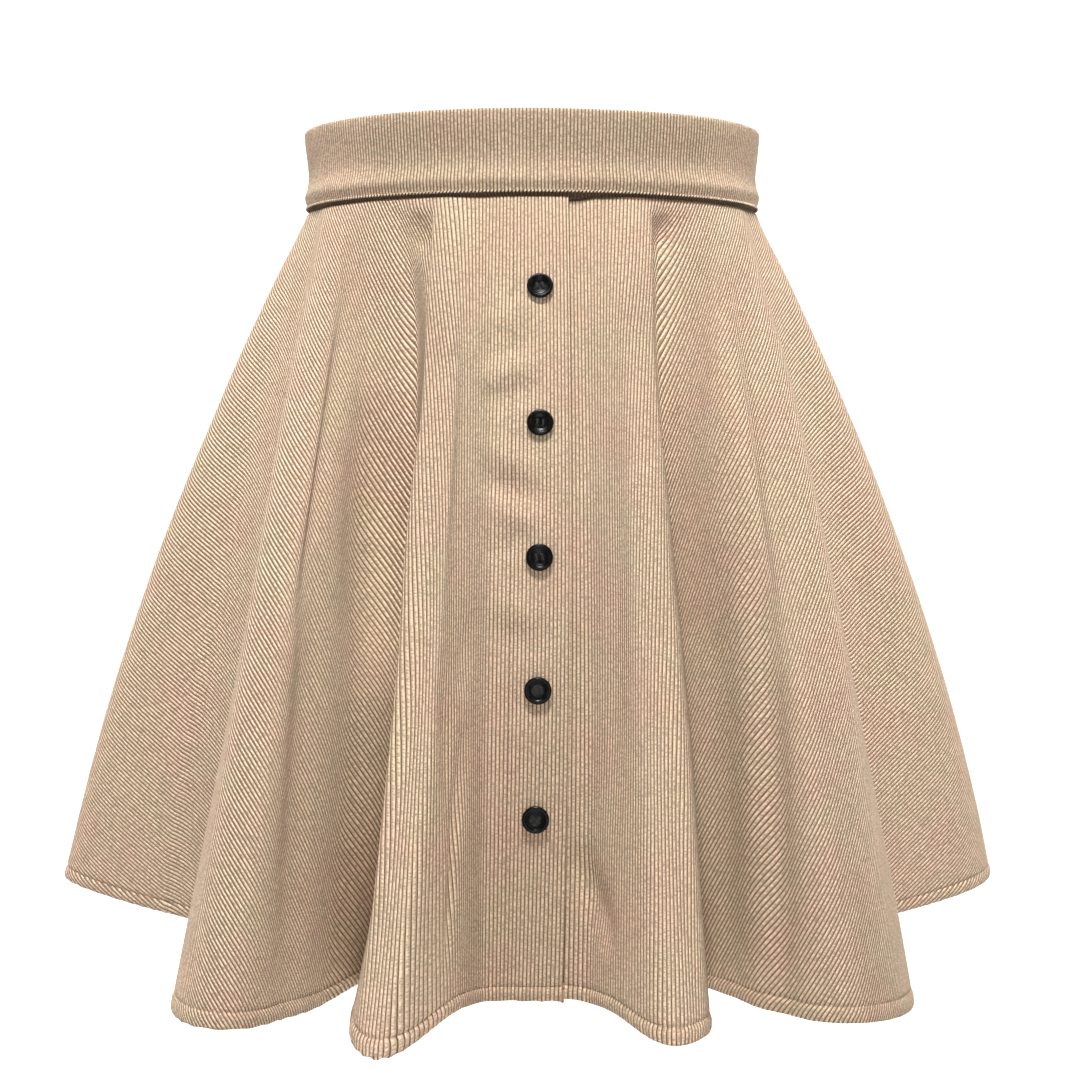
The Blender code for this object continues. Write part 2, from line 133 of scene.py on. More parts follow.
def eased(value: Grid) -> Grid:
    """Eases a value from 0 to 1.

    Args:
        value: Numbers, cut off below 0 and above 1.

    Returns:
        The eased numbers.
    """
    kept = np.clip(value, 0.0, 1.0)
    return kept * kept * (3.0 - 2.0 * kept)


def closed_spline(knots: Grid, values: Grid, period: float, places: Grid) -> Grid:
    """Reads a smooth closed curve.

    Args:
        knots: Where the values are, rising from 0.
        values: One row for each knot.
        period: The length round the curve.
        places: Where to read it.

    Returns:
        One row for each place.
    """
    count = len(knots)
    gap = np.diff(np.append(knots, knots[0] + period))
    rise = (np.roll(values, -1, axis=0) - values) / gap[:, None]
    system = np.zeros((count, count))
    for i in range(count):
        system[i, i - 1] = gap[i - 1]
        system[i, i] = 2.0 * (gap[i - 1] + gap[i])
        system[i, (i + 1) % count] = gap[i]
    bend = np.linalg.solve(system, 6.0 * (rise - np.roll(rise, 1, axis=0)))
    places = np.mod(places, period)
    i = np.clip(np.searchsorted(knots, places, side="right") - 1, 0, count - 1)
    after = (i + 1) % count
    width = gap[i][:, None]
    ahead = (places - knots[i])[:, None]
    left = width - ahead
    return (
        bend[i] * left**3 / (6.0 * width)
        + bend[after] * ahead**3 / (6.0 * width)
        + (values[i] / width - bend[i] * width / 6.0) * left
        + (values[after] / width - bend[after] * width / 6.0) * ahead
    )


def outward_normals(points: Grid) -> Grid:
    """Finds the unit normals of a grid, away from the wearer.

    Args:
        points: Rows down the cloth, columns round it to the wearer's left.

    Returns:
        A normal for each point.
    """
    normals = np.cross(np.gradient(points, axis=0), np.gradient(points, axis=1))
    return normals / np.maximum(np.linalg.norm(normals, axis=2, keepdims=True), 1e-12)


@dataclass
class WaistOval:
    """The waist, an ellipse in plan, measured round from the front's middle."""

    half_width: float = 126.5 * MM
    half_depth: float = 90.0 * MM
    samples: int = 4000
    angle: Grid = field(init=False)
    travelled: Grid = field(init=False)

    def __post_init__(self) -> None:
        """Measures the length round."""
        self.angle = np.linspace(0.0, 2.0 * math.pi, self.samples)
        steps = np.linalg.norm(np.diff(self.on_ellipse(self.angle, 0.0), axis=0), axis=1)
        self.travelled = np.concatenate(([0.0], np.cumsum(steps)))

    @property
    def length(self) -> float:
        """The length round the waist, in metres."""
        return float(self.travelled[-1])

    @property
    def zip_distance(self) -> float:
        """How far round the zip's seam is, in metres."""
        return FOLD_LINES[line_number(LEFT_SEAM)].waist * MM

    def on_ellipse(self, angle: Grid, inset: Grid | float) -> Grid:
        """Finds plan points.

        Args:
            angle: Angles round from the front's middle.
            inset: How far inside the ellipse they are.

        Returns:
            Their plan points.
        """
        across, ahead = np.sin(angle), -np.cos(angle)
        normal = np.stack((across / self.half_width, ahead / self.half_depth), axis=-1)
        normal /= np.linalg.norm(normal, axis=-1, keepdims=True)
        points = np.stack((self.half_width * across, self.half_depth * ahead), axis=-1)
        return points - normal * np.asarray(inset)[..., None]

    def at(self, distance: Grid | float, inset: Grid | float = 0.0) -> Grid:
        """Finds plan points by their distance round.

        Args:
            distance: Distances round from the front's middle.
            inset: How far inside the ellipse they are.

        Returns:
            Their plan points.
        """
        turned = np.interp(np.mod(distance, self.length), self.travelled, self.angle)
        return self.on_ellipse(turned, inset)


@dataclass
class Drape:
    """The skirt's outer face between the waist seam and the hem."""

    waist: WaistOval
    length: float = 401.0 * MM
    recess: float = 0.8 * MM
    mean_run: float = 125.0 * MM
    hem_swing: float = 0.35
    top: float = -23.3 * MM
    samples: int = 2400
    gap_samples: int = 200
    close_columns: int = 40
    close_level: float = 0.25
    lines: Grid = field(init=False)
    places: Grid = field(init=False)
    roots: Grid = field(init=False)
    waist_points: Grid = field(init=False)
    mid_points: Grid = field(init=False)
    hem_points: Grid = field(init=False)

    def __post_init__(self) -> None:
        """Runs the three levels' curves through the fold table."""
        starts = np.array([line.waist for line in FOLD_LINES]) * MM
        mid = np.array([(line.mid_across, -line.mid_ahead) for line in FOLD_LINES]) * MM
        hem = np.array([(line.hem_across, -line.hem_ahead) for line in FOLD_LINES]) * MM
        chords = sum(
            np.linalg.norm(np.roll(level, -1, axis=0) - level, axis=1)
            for level in (self.waist.at(starts), mid, hem)
        )
        self.lines = np.concatenate(([0.0], np.cumsum(chords))) / chords.sum()
        self.places = np.linspace(0.0, 1.0, self.samples)
        drift = (starts - self.lines[:-1] * self.waist.length)[:, None]
        self.roots = self.places * self.waist.length + self.through(drift)[:, 0]
        self.waist_points = self.waist.at(self.roots, self.recess)
        self.mid_points = self.through(mid)
        self.hem_points = self.through(hem)

    def through(self, values: Grid) -> Grid:
        """Runs a closed curve through the fold lines.

        Args:
            values: One row for each fold line.

        Returns:
            The curve at every sample.
        """
        return closed_spline(self.lines[:-1], values, 1.0, self.places)

    def ring(self, down: float) -> tuple[Grid, Grid]:
        """Reads one level.

        Args:
            down: Its share of the way to the hem.

        Returns:
            Plan points, and the distance travelled round at each.
        """
        points = (
            (1.0 - down) * (1.0 - 2.0 * down) * self.waist_points
            + 4.0 * down * (1.0 - down) * self.mid_points
            + down * (2.0 * down - 1.0) * self.hem_points
        )
        steps = np.linalg.norm(np.diff(points, axis=0), axis=1)
        return points, np.concatenate(([0.0], np.cumsum(steps)))

    def surface(self, drops: Grid, places: Grid, nudges: Grid) -> tuple[Grid, Grid, Grid]:
        """Reads a grid of the outer face.

        Args:
            drops: Distances down the cloth, rising.
            places: Each column's place among the fold lines.
            nudges: How far round each column is moved on.

        Returns:
            Points, distances round from the placket, and each row's length.
        """
        plan, around, lengths = [], [], []
        for drop in drops:
            points, travelled = self.ring(drop / self.length)
            reached = np.interp(places, self.places, travelled) + nudges
            where = np.mod(reached, travelled[-1])
            plan.append(
                np.stack([np.interp(where, travelled, points[:, k]) for k in (0, 1)], axis=1)
            )
            around.append(reached)
            lengths.append(travelled[-1])
        level = np.array(plan)
        slope = np.diff(drops)[:, None]
        run = np.linalg.norm(np.diff(level, axis=0), axis=2)
        run = self.hem_swing * run + (1.0 - self.hem_swing) * self.mean_run / self.length * slope
        fall = np.concatenate((np.zeros((1, level.shape[1])), np.cumsum(np.sqrt(slope**2 - run**2), axis=0)))
        height = self.top - fall + fall[int(np.searchsorted(drops, -0.01 * MM))]
        points = np.concatenate((level, height[:, :, None]), axis=2)
        return points, np.array(around), np.array(lengths)

    def rooted(self, drops: Grid, around: Grid, heart: float) -> Grid:
        """Follows points up their place to the waist seam.

        Args:
            drops: Each row's distance down the cloth.
            around: Each point's distance round from the placket.
            heart: The distance round the waist to measure from.

        Returns:
            How far round the waist from there each point's place starts.
        """
        half = self.waist.length / 2.0
        found = []
        for drop, row in zip(drops, around):
            travelled = self.ring(drop / self.length)[1]
            root = np.interp(np.mod(row, travelled[-1]), travelled, self.roots)
            found.append((root - heart + half) % self.waist.length - half)
        return np.array(found)

    def columns(self, first: int, last: int, step: float, least: int) -> Grid:
        """Spaces the columns between two fold lines.

        The gaps that hold a tuck get more columns, evenly spaced at the level
        where the tucks are deepest.

        Args:
            first: The fold line that they start at.
            last: The fold line that they end at.
            step: The widest gap between columns at the hem.
            least: The fewest columns from one fold line to the next.

        Returns:
            The columns' places.
        """
        at_lines = np.interp(self.lines, self.places, self.ring(1.0)[1])
        close = [line_number(name) for name in CLOSE_GAPS]
        found: list[float] = []
        for line in range(first, last):
            count = max(least, math.ceil((at_lines[line + 1] - at_lines[line]) / step))
            spots = np.linspace(self.lines[line], self.lines[line + 1], self.gap_samples)
            if line in close:
                count = max(count, self.close_columns)
                reached = np.interp(spots, self.places, self.ring(self.close_level)[1])
            else:
                reached = spots
            found.extend(np.interp(np.linspace(reached[0], reached[-1], count + 1)[:-1], reached, spots))
        return np.append(found, self.lines[last])


# --------------------------------------------------------------------------
# Creases, set on the drape
# --------------------------------------------------------------------------


@dataclass(frozen=True)
class Crease:
    """A soft ridge (+) or trough (-) beside a fold line, in mm."""

    line: str
    beside: float
    start: float
    to_beside: float
    stop: float
    width: float
    height: float

    def lift(self, drape: Drape, drops: Grid, around: Grid, lengths: Grid) -> Grid:
        """Works out how far the crease lifts the cloth.

        Args:
            drape: The drape that it lies on.
            drops: Each row's distance down the cloth.
            around: Each point's distance round from the placket.
            lengths: Each row's length round.

        Returns:
            The lift at each point, in metres.
        """
        place = drape.lines[line_number(self.line)]
        own = np.array([np.interp(place, drape.places, drape.ring(d / drape.length)[1]) for d in drops])
        across = around - own[:, None]
        across = (across + lengths[:, None] / 2.0) % lengths[:, None] - lengths[:, None] / 2.0
        down = np.broadcast_to(drops[:, None], across.shape)
        here = np.stack((across, down), axis=2) / MM
        start = np.array((self.beside, self.start))
        run = np.array((self.to_beside, self.stop)) - start
        along = np.clip((here - start) @ run / (run @ run), 0.0, 1.0)
        away = np.linalg.norm(here - start - along[:, :, None] * run, axis=2)
        return self.height * MM * np.exp(-((away / self.width) ** 2)) * np.sin(math.pi * along)


CREASES: tuple[Crease, ...] = (
    # The dimples at the top of the centre lobe's two edges.
    Crease("centre left flank", 7, 6, 8, 30, 4, -2.6),
    Crease("centre right flank", -3, 6, -4, 30, 4, -2.6),
    # The lobe's face is flat out to full edges, with the placket a little sunk.
    Crease("centre right flank", 1, 10, -3, 400, 7, 6.0),
    Crease("centre left flank", -1, 10, 2, 400, 7, 4.5),
    Crease("centre right inner", 0, -60, 0, 320, 13, -1.4),
    Crease("centre left inner", 0, -60, 0, 320, 13, -1.4),
    Crease("centre left crest", 0, -8, 1, 70, 10, 2.6),
    Crease("centre right crest", 0, -8, -1, 90, 12, 2.6),
    # Below them the centre lobe's edges stand out over the valleys beside it.
    Crease("centre left flank", 11, 60, 11, 340, 8, 3.0),
    Crease("centre right flank", -11, 60, -11, 340, 8, 2.5),
    Crease("centre left flank", 9, 180, 9, 440, 11, 4.0),
    # The two front lobes: broad flat inner faces, full out to their edges.
    Crease("left lobe inner", 0, 10, 2, 230, 14, 3.0),
    Crease("left lobe inner", -2, 170, -10, 440, 14, -3.5),
    Crease("right lobe inner", 4, 100, 13, 255, 15, -6.5),
    Crease("left lobe crest", 2, 14, 4, 250, 9, -6.5),
    Crease("left lobe crest", 0, 130, -42, 440, 12, -7.0),
    Crease("right lobe crest", 7, 14, 4, 230, 9, -6.0),
    Crease("right lobe crest", 6, 120, 38, 440, 12, -7.0),
    Crease("left lobe crest", 34, 40, 18, 420, 13, 5.0),
    Crease("right lobe crest", -28, 40, -12, 420, 13, 5.0),
    # A hollow half-way down the right lobe's inner face, and fuller valleys below.
    Crease("first right valley", -8, 110, -14, 240, 16, -2.5),
    Crease("first right valley", -6, 220, -8, 420, 15, 3.5),
    Crease("first left valley", 6, 220, 8, 420, 15, 3.5),
    # Softer hollows at the top of the two outer valleys.
    Crease("second left valley", 0, -18, 2, 90, 9, -2.0),
    Crease("second right valley", 0, -18, -2, 90, 9, -2.0),
    # Puckers that the sewn-on buttons pull in the placket.
    Crease("placket", -33, 66, 2, 58, 5, 1.6),
    Crease("placket", -31, 82, 3, 76, 4, -1.7),
    Crease("placket", -34, 96, 0, 88, 4.5, 2.1),
    Crease("placket", -31, 108, 4, 98, 4.2, -2.6),
    Crease("placket", -34, 126, 1, 142, 4.5, 2.1),
    Crease("placket", -32, 144, 4, 156, 4.5, -3.0),
    Crease("placket", -30, 157, 5, 169, 4, 1.9),
    Crease("placket", -30, 182, 2, 174, 4, -1.6),
    Crease("placket", -26, 206, 6, 214, 5, 1.3),
    Crease("placket", -28, 220, 4, 228, 5, -1.2),
    Crease("placket", -22, 262, 0, 272, 5, 0.7),
    Crease("placket", 20, 66, 34, 150, 8, -1.0),
    Crease("placket", 30, 120, 40, 330, 9, -1.4),
    Crease("placket", 16, 322, 42, 374, 7, -3.4),
    Crease("centre right inner", 4, 256, -13, 380, 4, -2.6),
    Crease("centre right inner", 4, 205, 0, 250, 4, -1.6),
    Crease("placket", -52, 230, -46, 330, 7, -1.6),
    Crease("side left inner", 4, 40, 14, 300, 16, -1.6),
    Crease("side right inner", -4, 40, -10, 300, 16, -1.6),
    Crease("side left crest", -16, 120, -22, 380, 14, 1.2),
    Crease("side right crest", 16, 120, 24, 380, 14, 1.2),
    # The back's own breaks.
    Crease("back left crest", 8, 70, 18, 300, 12, -1.4),
    Crease("back inner left crest", -8, 90, -14, 330, 12, 1.2),
    Crease("back middle crest", 10, 50, 22, 280, 13, -1.5),
    Crease("back right crest", -10, 80, -20, 340, 12, 1.3),
    Crease("side right back", 6, 60, 12, 260, 12, -1.2),
)


@dataclass(frozen=True)
class TuckLevel:
    """A tuck at one level, in mm, and its pull, the share that its rim is drawn in."""

    drop: float
    beside: float
    width: float
    depth: float
    pull: float


@dataclass(frozen=True)
class Tuck:
    """A fold that falls from its rim in a steep wall."""

    line: str
    side: float
    levels: tuple[TuckLevel, ...]
    rim: float = 0.95
    wall: float = 1.3
    tail: float = 2.6

    def form(self, drape: Drape, drops: Grid, around: Grid, lengths: Grid) -> tuple[Grid, Grid, Grid]:
        """Works out how the tuck moves the cloth.

        Args:
            drape: The drape that it lies on.
            drops: Each row's distance down the cloth.
            around: Each point's distance round from the placket.
            lengths: Each row's length round.

        Returns:
            How far each point slides round, how far it sinks and how far the
            cut cloth moves under it, in metres.
        """
        place = drape.lines[line_number(self.line)]
        own = np.array([np.interp(place, drape.places, drape.ring(d / drape.length)[1]) for d in drops])
        at = [level.drop * MM for level in self.levels]
        beside, width, depth, pull = (
            np.interp(drops, at, [getattr(level, part) for level in self.levels])[:, None]
            for part in ("beside", "width", "depth", "pull")
        )
        across = around - own[:, None] - beside * MM
        across = (across + lengths[:, None] / 2.0) % lengths[:, None] - lengths[:, None] / 2.0
        away = across * self.side / (width * MM)
        slide = -pull * away * np.exp(-(away**2)) * self.side * width * MM
        fade = np.exp(-((np.maximum(away - 1.0, 0.0) / self.tail) ** 2))
        sink = depth * MM * eased((away + self.rim) / self.wall) * fade
        return slide, sink, slide + self.side * sink


TUCKS: tuple[Tuck, ...] = (
    Tuck(
        "centre left flank",
        1.0,
        (
            TuckLevel(4, 0.8, 5.0, 0.0, 0.0),
            TuckLevel(12, 0.8, 4.5, 2.4, 0.9),
            TuckLevel(20, 0.6, 4.0, 4.2, 0.95),
            TuckLevel(30, 0.6, 4.0, 4.6, 1.0),
            TuckLevel(80, 0.6, 4.2, 4.4, 1.0),
            TuckLevel(120, 2.0, 4.8, 3.6, 1.0),
            TuckLevel(150, 4.5, 5.6, 2.6, 0.95),
            TuckLevel(190, 8.0, 7.0, 1.2, 0.8),
            TuckLevel(230, 10.0, 8.0, 0.0, 0.0),
        ),
    ),
    Tuck(
        "centre right flank",
        -1.0,
        (
            TuckLevel(4, 5.0, 5.0, 0.0, 0.0),
            TuckLevel(12, 4.9, 4.5, 2.4, 0.9),
            TuckLevel(20, 4.4, 4.0, 4.2, 0.95),
            TuckLevel(40, 2.9, 4.0, 4.6, 1.0),
            TuckLevel(60, 1.4, 4.0, 4.6, 1.0),
            TuckLevel(80, 0.0, 4.2, 4.4, 1.0),
            TuckLevel(120, -1.3, 4.8, 3.6, 1.0),
            TuckLevel(150, -4.5, 5.6, 2.6, 0.95),
            TuckLevel(190, -8.0, 7.0, 1.2, 0.8),
            TuckLevel(230, -10.0, 8.0, 0.0, 0.0),
        ),
    ),
)


# --------------------------------------------------------------------------
# The cut, which sets how the wales run
# --------------------------------------------------------------------------


@dataclass(frozen=True)
class Grain:
    """How far the cut turns from the straight grain, round the waist seam."""

    turns: tuple[tuple[float, float], ...]
    closeness: tuple[tuple[float, float], ...] = ((0.0, 1.0),)
    bends: tuple[tuple[float, float], ...] = ((0.0, 0.0),)
    reach: float = 400.0 * MM
    blend: float = 2.0
    half_round: float = 260.0
    spacing: float = 0.25
    taps: int = 16

    def cut(self, drops: Grid, roots: Grid) -> tuple[Grid, Grid]:
        """Finds where points lie on the cut cloth.

        Args:
            drops: Each point's distance down the cloth.
            roots: How far round the waist each point's place starts.

        Returns:
            Distances across and along the grain.
        """
        fine = np.arange(-self.half_round, self.half_round + 0.1, self.spacing)
        at, degrees = zip(*self.turns)
        turn = np.interp(fine, at, degrees)
        window = np.exp(-((np.arange(-self.taps, self.taps + 1) * self.spacing / self.blend) ** 2))
        padded = np.pad(turn, self.taps, mode="edge")
        turn = np.radians(np.convolve(padded, window / window.sum(), mode="valid"))
        at, ratio = zip(*self.closeness)
        pull = np.interp(fine, at, ratio)
        middle = len(fine) // 2
        seam_across = np.cumsum(np.cos(turn) * pull) * self.spacing
        seam_along = np.cumsum(np.sin(turn) * pull) * self.spacing
        at_root = roots / MM
        here = np.interp(at_root, fine, turn)
        at, share = zip(*self.bends)
        bend = np.interp(at_root, at, share)
        across = np.interp(at_root, fine, seam_across - seam_across[middle]) * MM
        along = np.interp(at_root, fine, seam_along - seam_along[middle]) * MM
        return across + drops * np.sin(here) + bend * drops**2 / self.reach, along - drops * np.cos(here)


FRONT_GRAIN = Grain(
    (
        (-260, -98), (-195, -76), (-178, -67.5), (-165, -63), (-148, -56.5), (-137, -48), (-124, -38),
        (-112, -34), (-104, -32), (-97, -28.5), (-90, -23.5), (-71, -21), (-65, -5.5), (-57, -5),
        (-38, -4.8), (-19, 0), (28, 0), (46, 4), (58, 4.5), (65, 5.5), (71, 17), (80, 20), (90, 22.5),
        (102, 25.5), (112, 28.5), (124, 36), (137, 49), (148, 55), (165, 60), (178, 66), (194, 77),
        (260, 100),
    ),
    (
        (-64, 1.0), (-58, 0.9), (-52, 1.02), (-44, 0.85), (-38, 0.74), (-30, 0.86), (-22, 1.05),
        (26, 1.05), (32, 0.95), (60, 0.95), (64, 1.0),
    ),
    ((-150, 0.02), (-124, -0.1), (-71, -0.11), (-65, 0), (65, 0), (71, 0.11), (124, 0.11), (150, -0.02)),
)
BACK_GRAIN = Grain(
    (
        (-260, -110), (-148, -66), (-104, -50), (-88, -46), (-72, -36), (-48, -29), (-33, -24), (-16, -8),
        (8, 0), (24, 4), (40, 14), (66, 24), (81, 28), (96, 40), (120, 52), (134, 57), (148, 66), (260, 110),
    )
)


# --------------------------------------------------------------------------
# Shader helpers and shared effects
# --------------------------------------------------------------------------


class Wiring:
    """Adds and joins nodes of one tree."""

    def __init__(self, tree: bpy.types.NodeTree) -> None:
        """Starts on a tree.

        Args:
            tree: The node tree to work in.
        """
        self.tree = tree
        self.made = 0

    def add(self, kind: str, inputs: dict | None = None, **settings: object) -> bpy.types.Node:
        """Adds a node.

        Args:
            kind: The node's type.
            inputs: Values or sockets for its inputs, by name or number.
            **settings: The node's own settings.

        Returns:
            The node.
        """
        node = self.tree.nodes.new(kind)
        node.location = (190.0 * (self.made % 9), -230.0 * (self.made // 9))
        self.made += 1
        for name, value in settings.items():
            setattr(node, name, value)
        for key, value in (inputs or {}).items():
            if isinstance(value, bpy.types.NodeSocket):
                self.tree.links.new(value, node.inputs[key])
            else:
                node.inputs[key].default_value = value
        return node

    def math(self, operation: str, *values: object) -> bpy.types.NodeSocket:
        """Adds a Math node.

        Args:
            operation: What it does.
            *values: Its inputs, in order.

        Returns:
            Its result.
        """
        node = self.add("ShaderNodeMath", dict(enumerate(values)), operation=operation)
        return node.outputs[0]

    def noise(self, vector: object, scale: float, detail: float = 2.0) -> bpy.types.NodeSocket:
        """Adds a noise texture.

        Args:
            vector: Where it is read.
            scale: Its scale.
            detail: Its detail.

        Returns:
            Its value, from 0 to 1.
        """
        node = self.add("ShaderNodeTexNoise", {"Vector": vector, "Scale": scale, "Detail": detail})
        return node.outputs[0]

    def ramp(
        self, value: object, low: float, high: float, to_low: float, to_high: float
    ) -> bpy.types.NodeSocket:
        """Maps a value to a new range, with soft ends.

        Args:
            value: The value.
            low: The old range's start.
            high: The old range's end.
            to_low: The new range's start.
            to_high: The new range's end.

        Returns:
            The mapped value.
        """
        node = self.add(
            "ShaderNodeMapRange",
            {0: value, 1: low, 2: high, 3: to_low, 4: to_high},
            interpolation_type="SMOOTHSTEP",
        )
        return node.outputs[0]

    def mix(self, share: object, first: object, second: object, blend: str = "MIX") -> bpy.types.NodeSocket:
        """Mixes two colours.

        Args:
            share: The second one's share.
            first: The first colour.
            second: The second colour.
            blend: How they mix.

        Returns:
            The mixed colour.
        """
        node = self.add("ShaderNodeMix", data_type="RGBA", blend_type=blend)
        for key, value in ((0, share), (6, first), (7, second)):
            if isinstance(value, bpy.types.NodeSocket):
                self.tree.links.new(value, node.inputs[key])
            else:
                node.inputs[key].default_value = value
        return node.outputs[2]

    def bump(self, height: object, distance: float, strength: float) -> bpy.types.NodeSocket:
        """Adds a bump.

        Args:
            height: The height that it is read from.
            distance: How deep it looks, in metres.
            strength: Its strength.

        Returns:
            The new normal.
        """
        values = {"Height": height, "Distance": distance, "Strength": strength}
        return self.add("ShaderNodeBump", values).outputs[0]


def new_group(
    name: str, inputs: dict[str, tuple[str, object]], outputs: dict[str, str]
) -> tuple[bpy.types.NodeTree, Wiring, dict, bpy.types.Node]:
    """Starts a shader node group with named sockets.

    Args:
        name: The group's name.
        inputs: Each input's socket type and default, by name.
        outputs: Each output's socket type, by name.

    Returns:
        The group, its wiring, its input sockets by name and its output node.
    """
    group = bpy.data.node_groups.new(name, "ShaderNodeTree")
    for label, (kind, default) in inputs.items():
        socket = group.interface.new_socket(label, in_out="INPUT", socket_type=kind)
        if default is not None:
            socket.default_value = default
    for label, kind in outputs.items():
        group.interface.new_socket(label, in_out="OUTPUT", socket_type=kind)
    wiring = Wiring(group)
    source = wiring.add("NodeGroupInput")
    target = wiring.add("NodeGroupOutput")
    return group, wiring, {s.name: s for s in source.outputs if s.name}, target


def wale_group() -> bpy.types.NodeTree:
    """Makes the corduroy's wales, with their pile and its uneven lie.

    Returns:
        The node group.
    """
    group, wire, read, out = new_group(
        "corduroy wales",
        {
            "Flat": ("NodeSocketVector", None),
            "Pitch": ("NodeSocketFloat", 0.0019),
            "Wander": ("NodeSocketFloat", 0.00018),
        },
        {
            "Height": "NodeSocketFloat",
            "Groove": "NodeSocketFloat",
            "Fleck": "NodeSocketFloat",
            "Lie": "NodeSocketFloat",
        },
    )
    tuft_length, tuft_shift, raggedness = 0.0009, 7.3, 0.34
    split = wire.add("ShaderNodeSeparateXYZ", {0: read["Flat"]})
    across, along = split.outputs[0], split.outputs[1]
    sway = wire.math("SUBTRACT", wire.noise(read["Flat"], 240.0, 1.0), 0.5)
    shifted = wire.math("MULTIPLY_ADD", sway, read["Wander"], across)
    counted = wire.math("DIVIDE", shifted, read["Pitch"])
    number = wire.math("FLOOR", counted)
    beside = wire.math("ABSOLUTE", wire.math("SUBTRACT", wire.math("FRACT", counted), 0.5))
    chance = wire.add("ShaderNodeTexWhiteNoise", {"W": number}, noise_dimensions="1D").outputs[0]
    # Tufts: short steps along each wale, out of line with its neighbours.
    tuft_at = wire.math("MULTIPLY_ADD", chance, tuft_shift, wire.math("DIVIDE", along, tuft_length))
    tuft_place = wire.add("ShaderNodeCombineXYZ", {0: counted, 1: tuft_at, 2: number}).outputs[0]
    tuft = wire.noise(tuft_place, 1.1, 2.5)
    ragged = wire.math("MULTIPLY_ADD", wire.math("SUBTRACT", tuft, 0.5), raggedness, beside)
    groove = wire.ramp(ragged, 0.3, 0.45, 0.0, 1.0)
    crown = wire.ramp(beside, 0.0, 0.47, 1.0, 0.0)
    height = wire.math("MULTIPLY", crown, wire.math("MULTIPLY_ADD", tuft, 0.7, 0.55))
    lie = wire.noise(read["Flat"], 21.0, 3.0)
    wire.tree.links.new(height, out.inputs["Height"])
    wire.tree.links.new(groove, out.inputs["Groove"])
    wire.tree.links.new(tuft, out.inputs["Fleck"])
    wire.tree.links.new(lie, out.inputs["Lie"])
    return group


def weave_group() -> bpy.types.NodeTree:
    """Makes a plain weave, for the cloth's back, the facing and the tape.

    Returns:
        The node group.
    """
    group, wire, read, out = new_group(
        "plain weave",
        {"Place": ("NodeSocketVector", None), "Yarn": ("NodeSocketFloat", 0.0006)},
        {"Height": "NodeSocketFloat", "Shade": "NodeSocketFloat"},
    )
    split = wire.add("ShaderNodeSeparateXYZ", {0: read["Place"]})
    turn = wire.math("DIVIDE", math.pi, read["Yarn"])
    warp = wire.math("SINE", wire.math("MULTIPLY", split.outputs[0], turn))
    weft = wire.math("SINE", wire.math("MULTIPLY", split.outputs[1], turn))
    crossing = wire.math("ABSOLUTE", wire.math("MULTIPLY", warp, weft))
    fuzz = wire.noise(read["Place"], 900.0, 2.0)
    height = wire.math("MULTIPLY_ADD", fuzz, 0.3, crossing)
    shade = wire.ramp(height, 0.0, 1.2, 0.0, 1.0)
    wire.tree.links.new(height, out.inputs["Height"])
    wire.tree.links.new(shade, out.inputs["Shade"])
    return group


def wear_group() -> bpy.types.NodeTree:
    """Makes soft patches of wear and dust, broken up by noise.

    Returns:
        The node group.
    """
    group, wire, read, out = new_group(
        "soft wear",
        {
            "Place": ("NodeSocketVector", None),
            "Scale": ("NodeSocketFloat", 40.0),
            "Rubbed": ("NodeSocketFloat", 0.0),
        },
        {"Wear": "NodeSocketFloat", "Patch": "NodeSocketFloat"},
    )
    patch = wire.noise(read["Place"], read["Scale"], 4.0)
    wear = wire.math("MULTIPLY", read["Rubbed"], wire.ramp(patch, 0.3, 0.65, 0.35, 1.0))
    wire.tree.links.new(wear, out.inputs["Wear"])
    wire.tree.links.new(patch, out.inputs["Patch"])
    return group


def new_finish(
    name: str, roughness: float, **constants: object
) -> tuple[bpy.types.Material, Wiring, bpy.types.Node]:
    """Starts a material on its Principled shader.

    Args:
        name: The material's name.
        roughness: The shader's roughness.
        **constants: Other sockets' values, with _ for a space.

    Returns:
        The material, its wiring and its shader.
    """
    made = bpy.data.materials.new(name)
    made.use_nodes = True
    shader = made.node_tree.nodes["Principled BSDF"]
    shader.inputs["Roughness"].default_value = roughness
    for key, value in constants.items():
        shader.inputs[key.replace("_", " ")].default_value = value
    return made, Wiring(made.node_tree), shader


def linear(red: int, green: int, blue: int) -> tuple[float, float, float, float]:
    """Turns a colour as it is seen into the shader's values.

    Args:
        red: Red, from 0 to 255.
        green: Green, from 0 to 255.
        blue: Blue, from 0 to 255.

    Returns:
        The linear colour, with full alpha.
    """
    seen = [value / 255.0 for value in (red, green, blue)]
    light = [v / 12.92 if v <= 0.04045 else ((v + 0.055) / 1.055) ** 2.4 for v in seen]
    return (*light, 1.0)


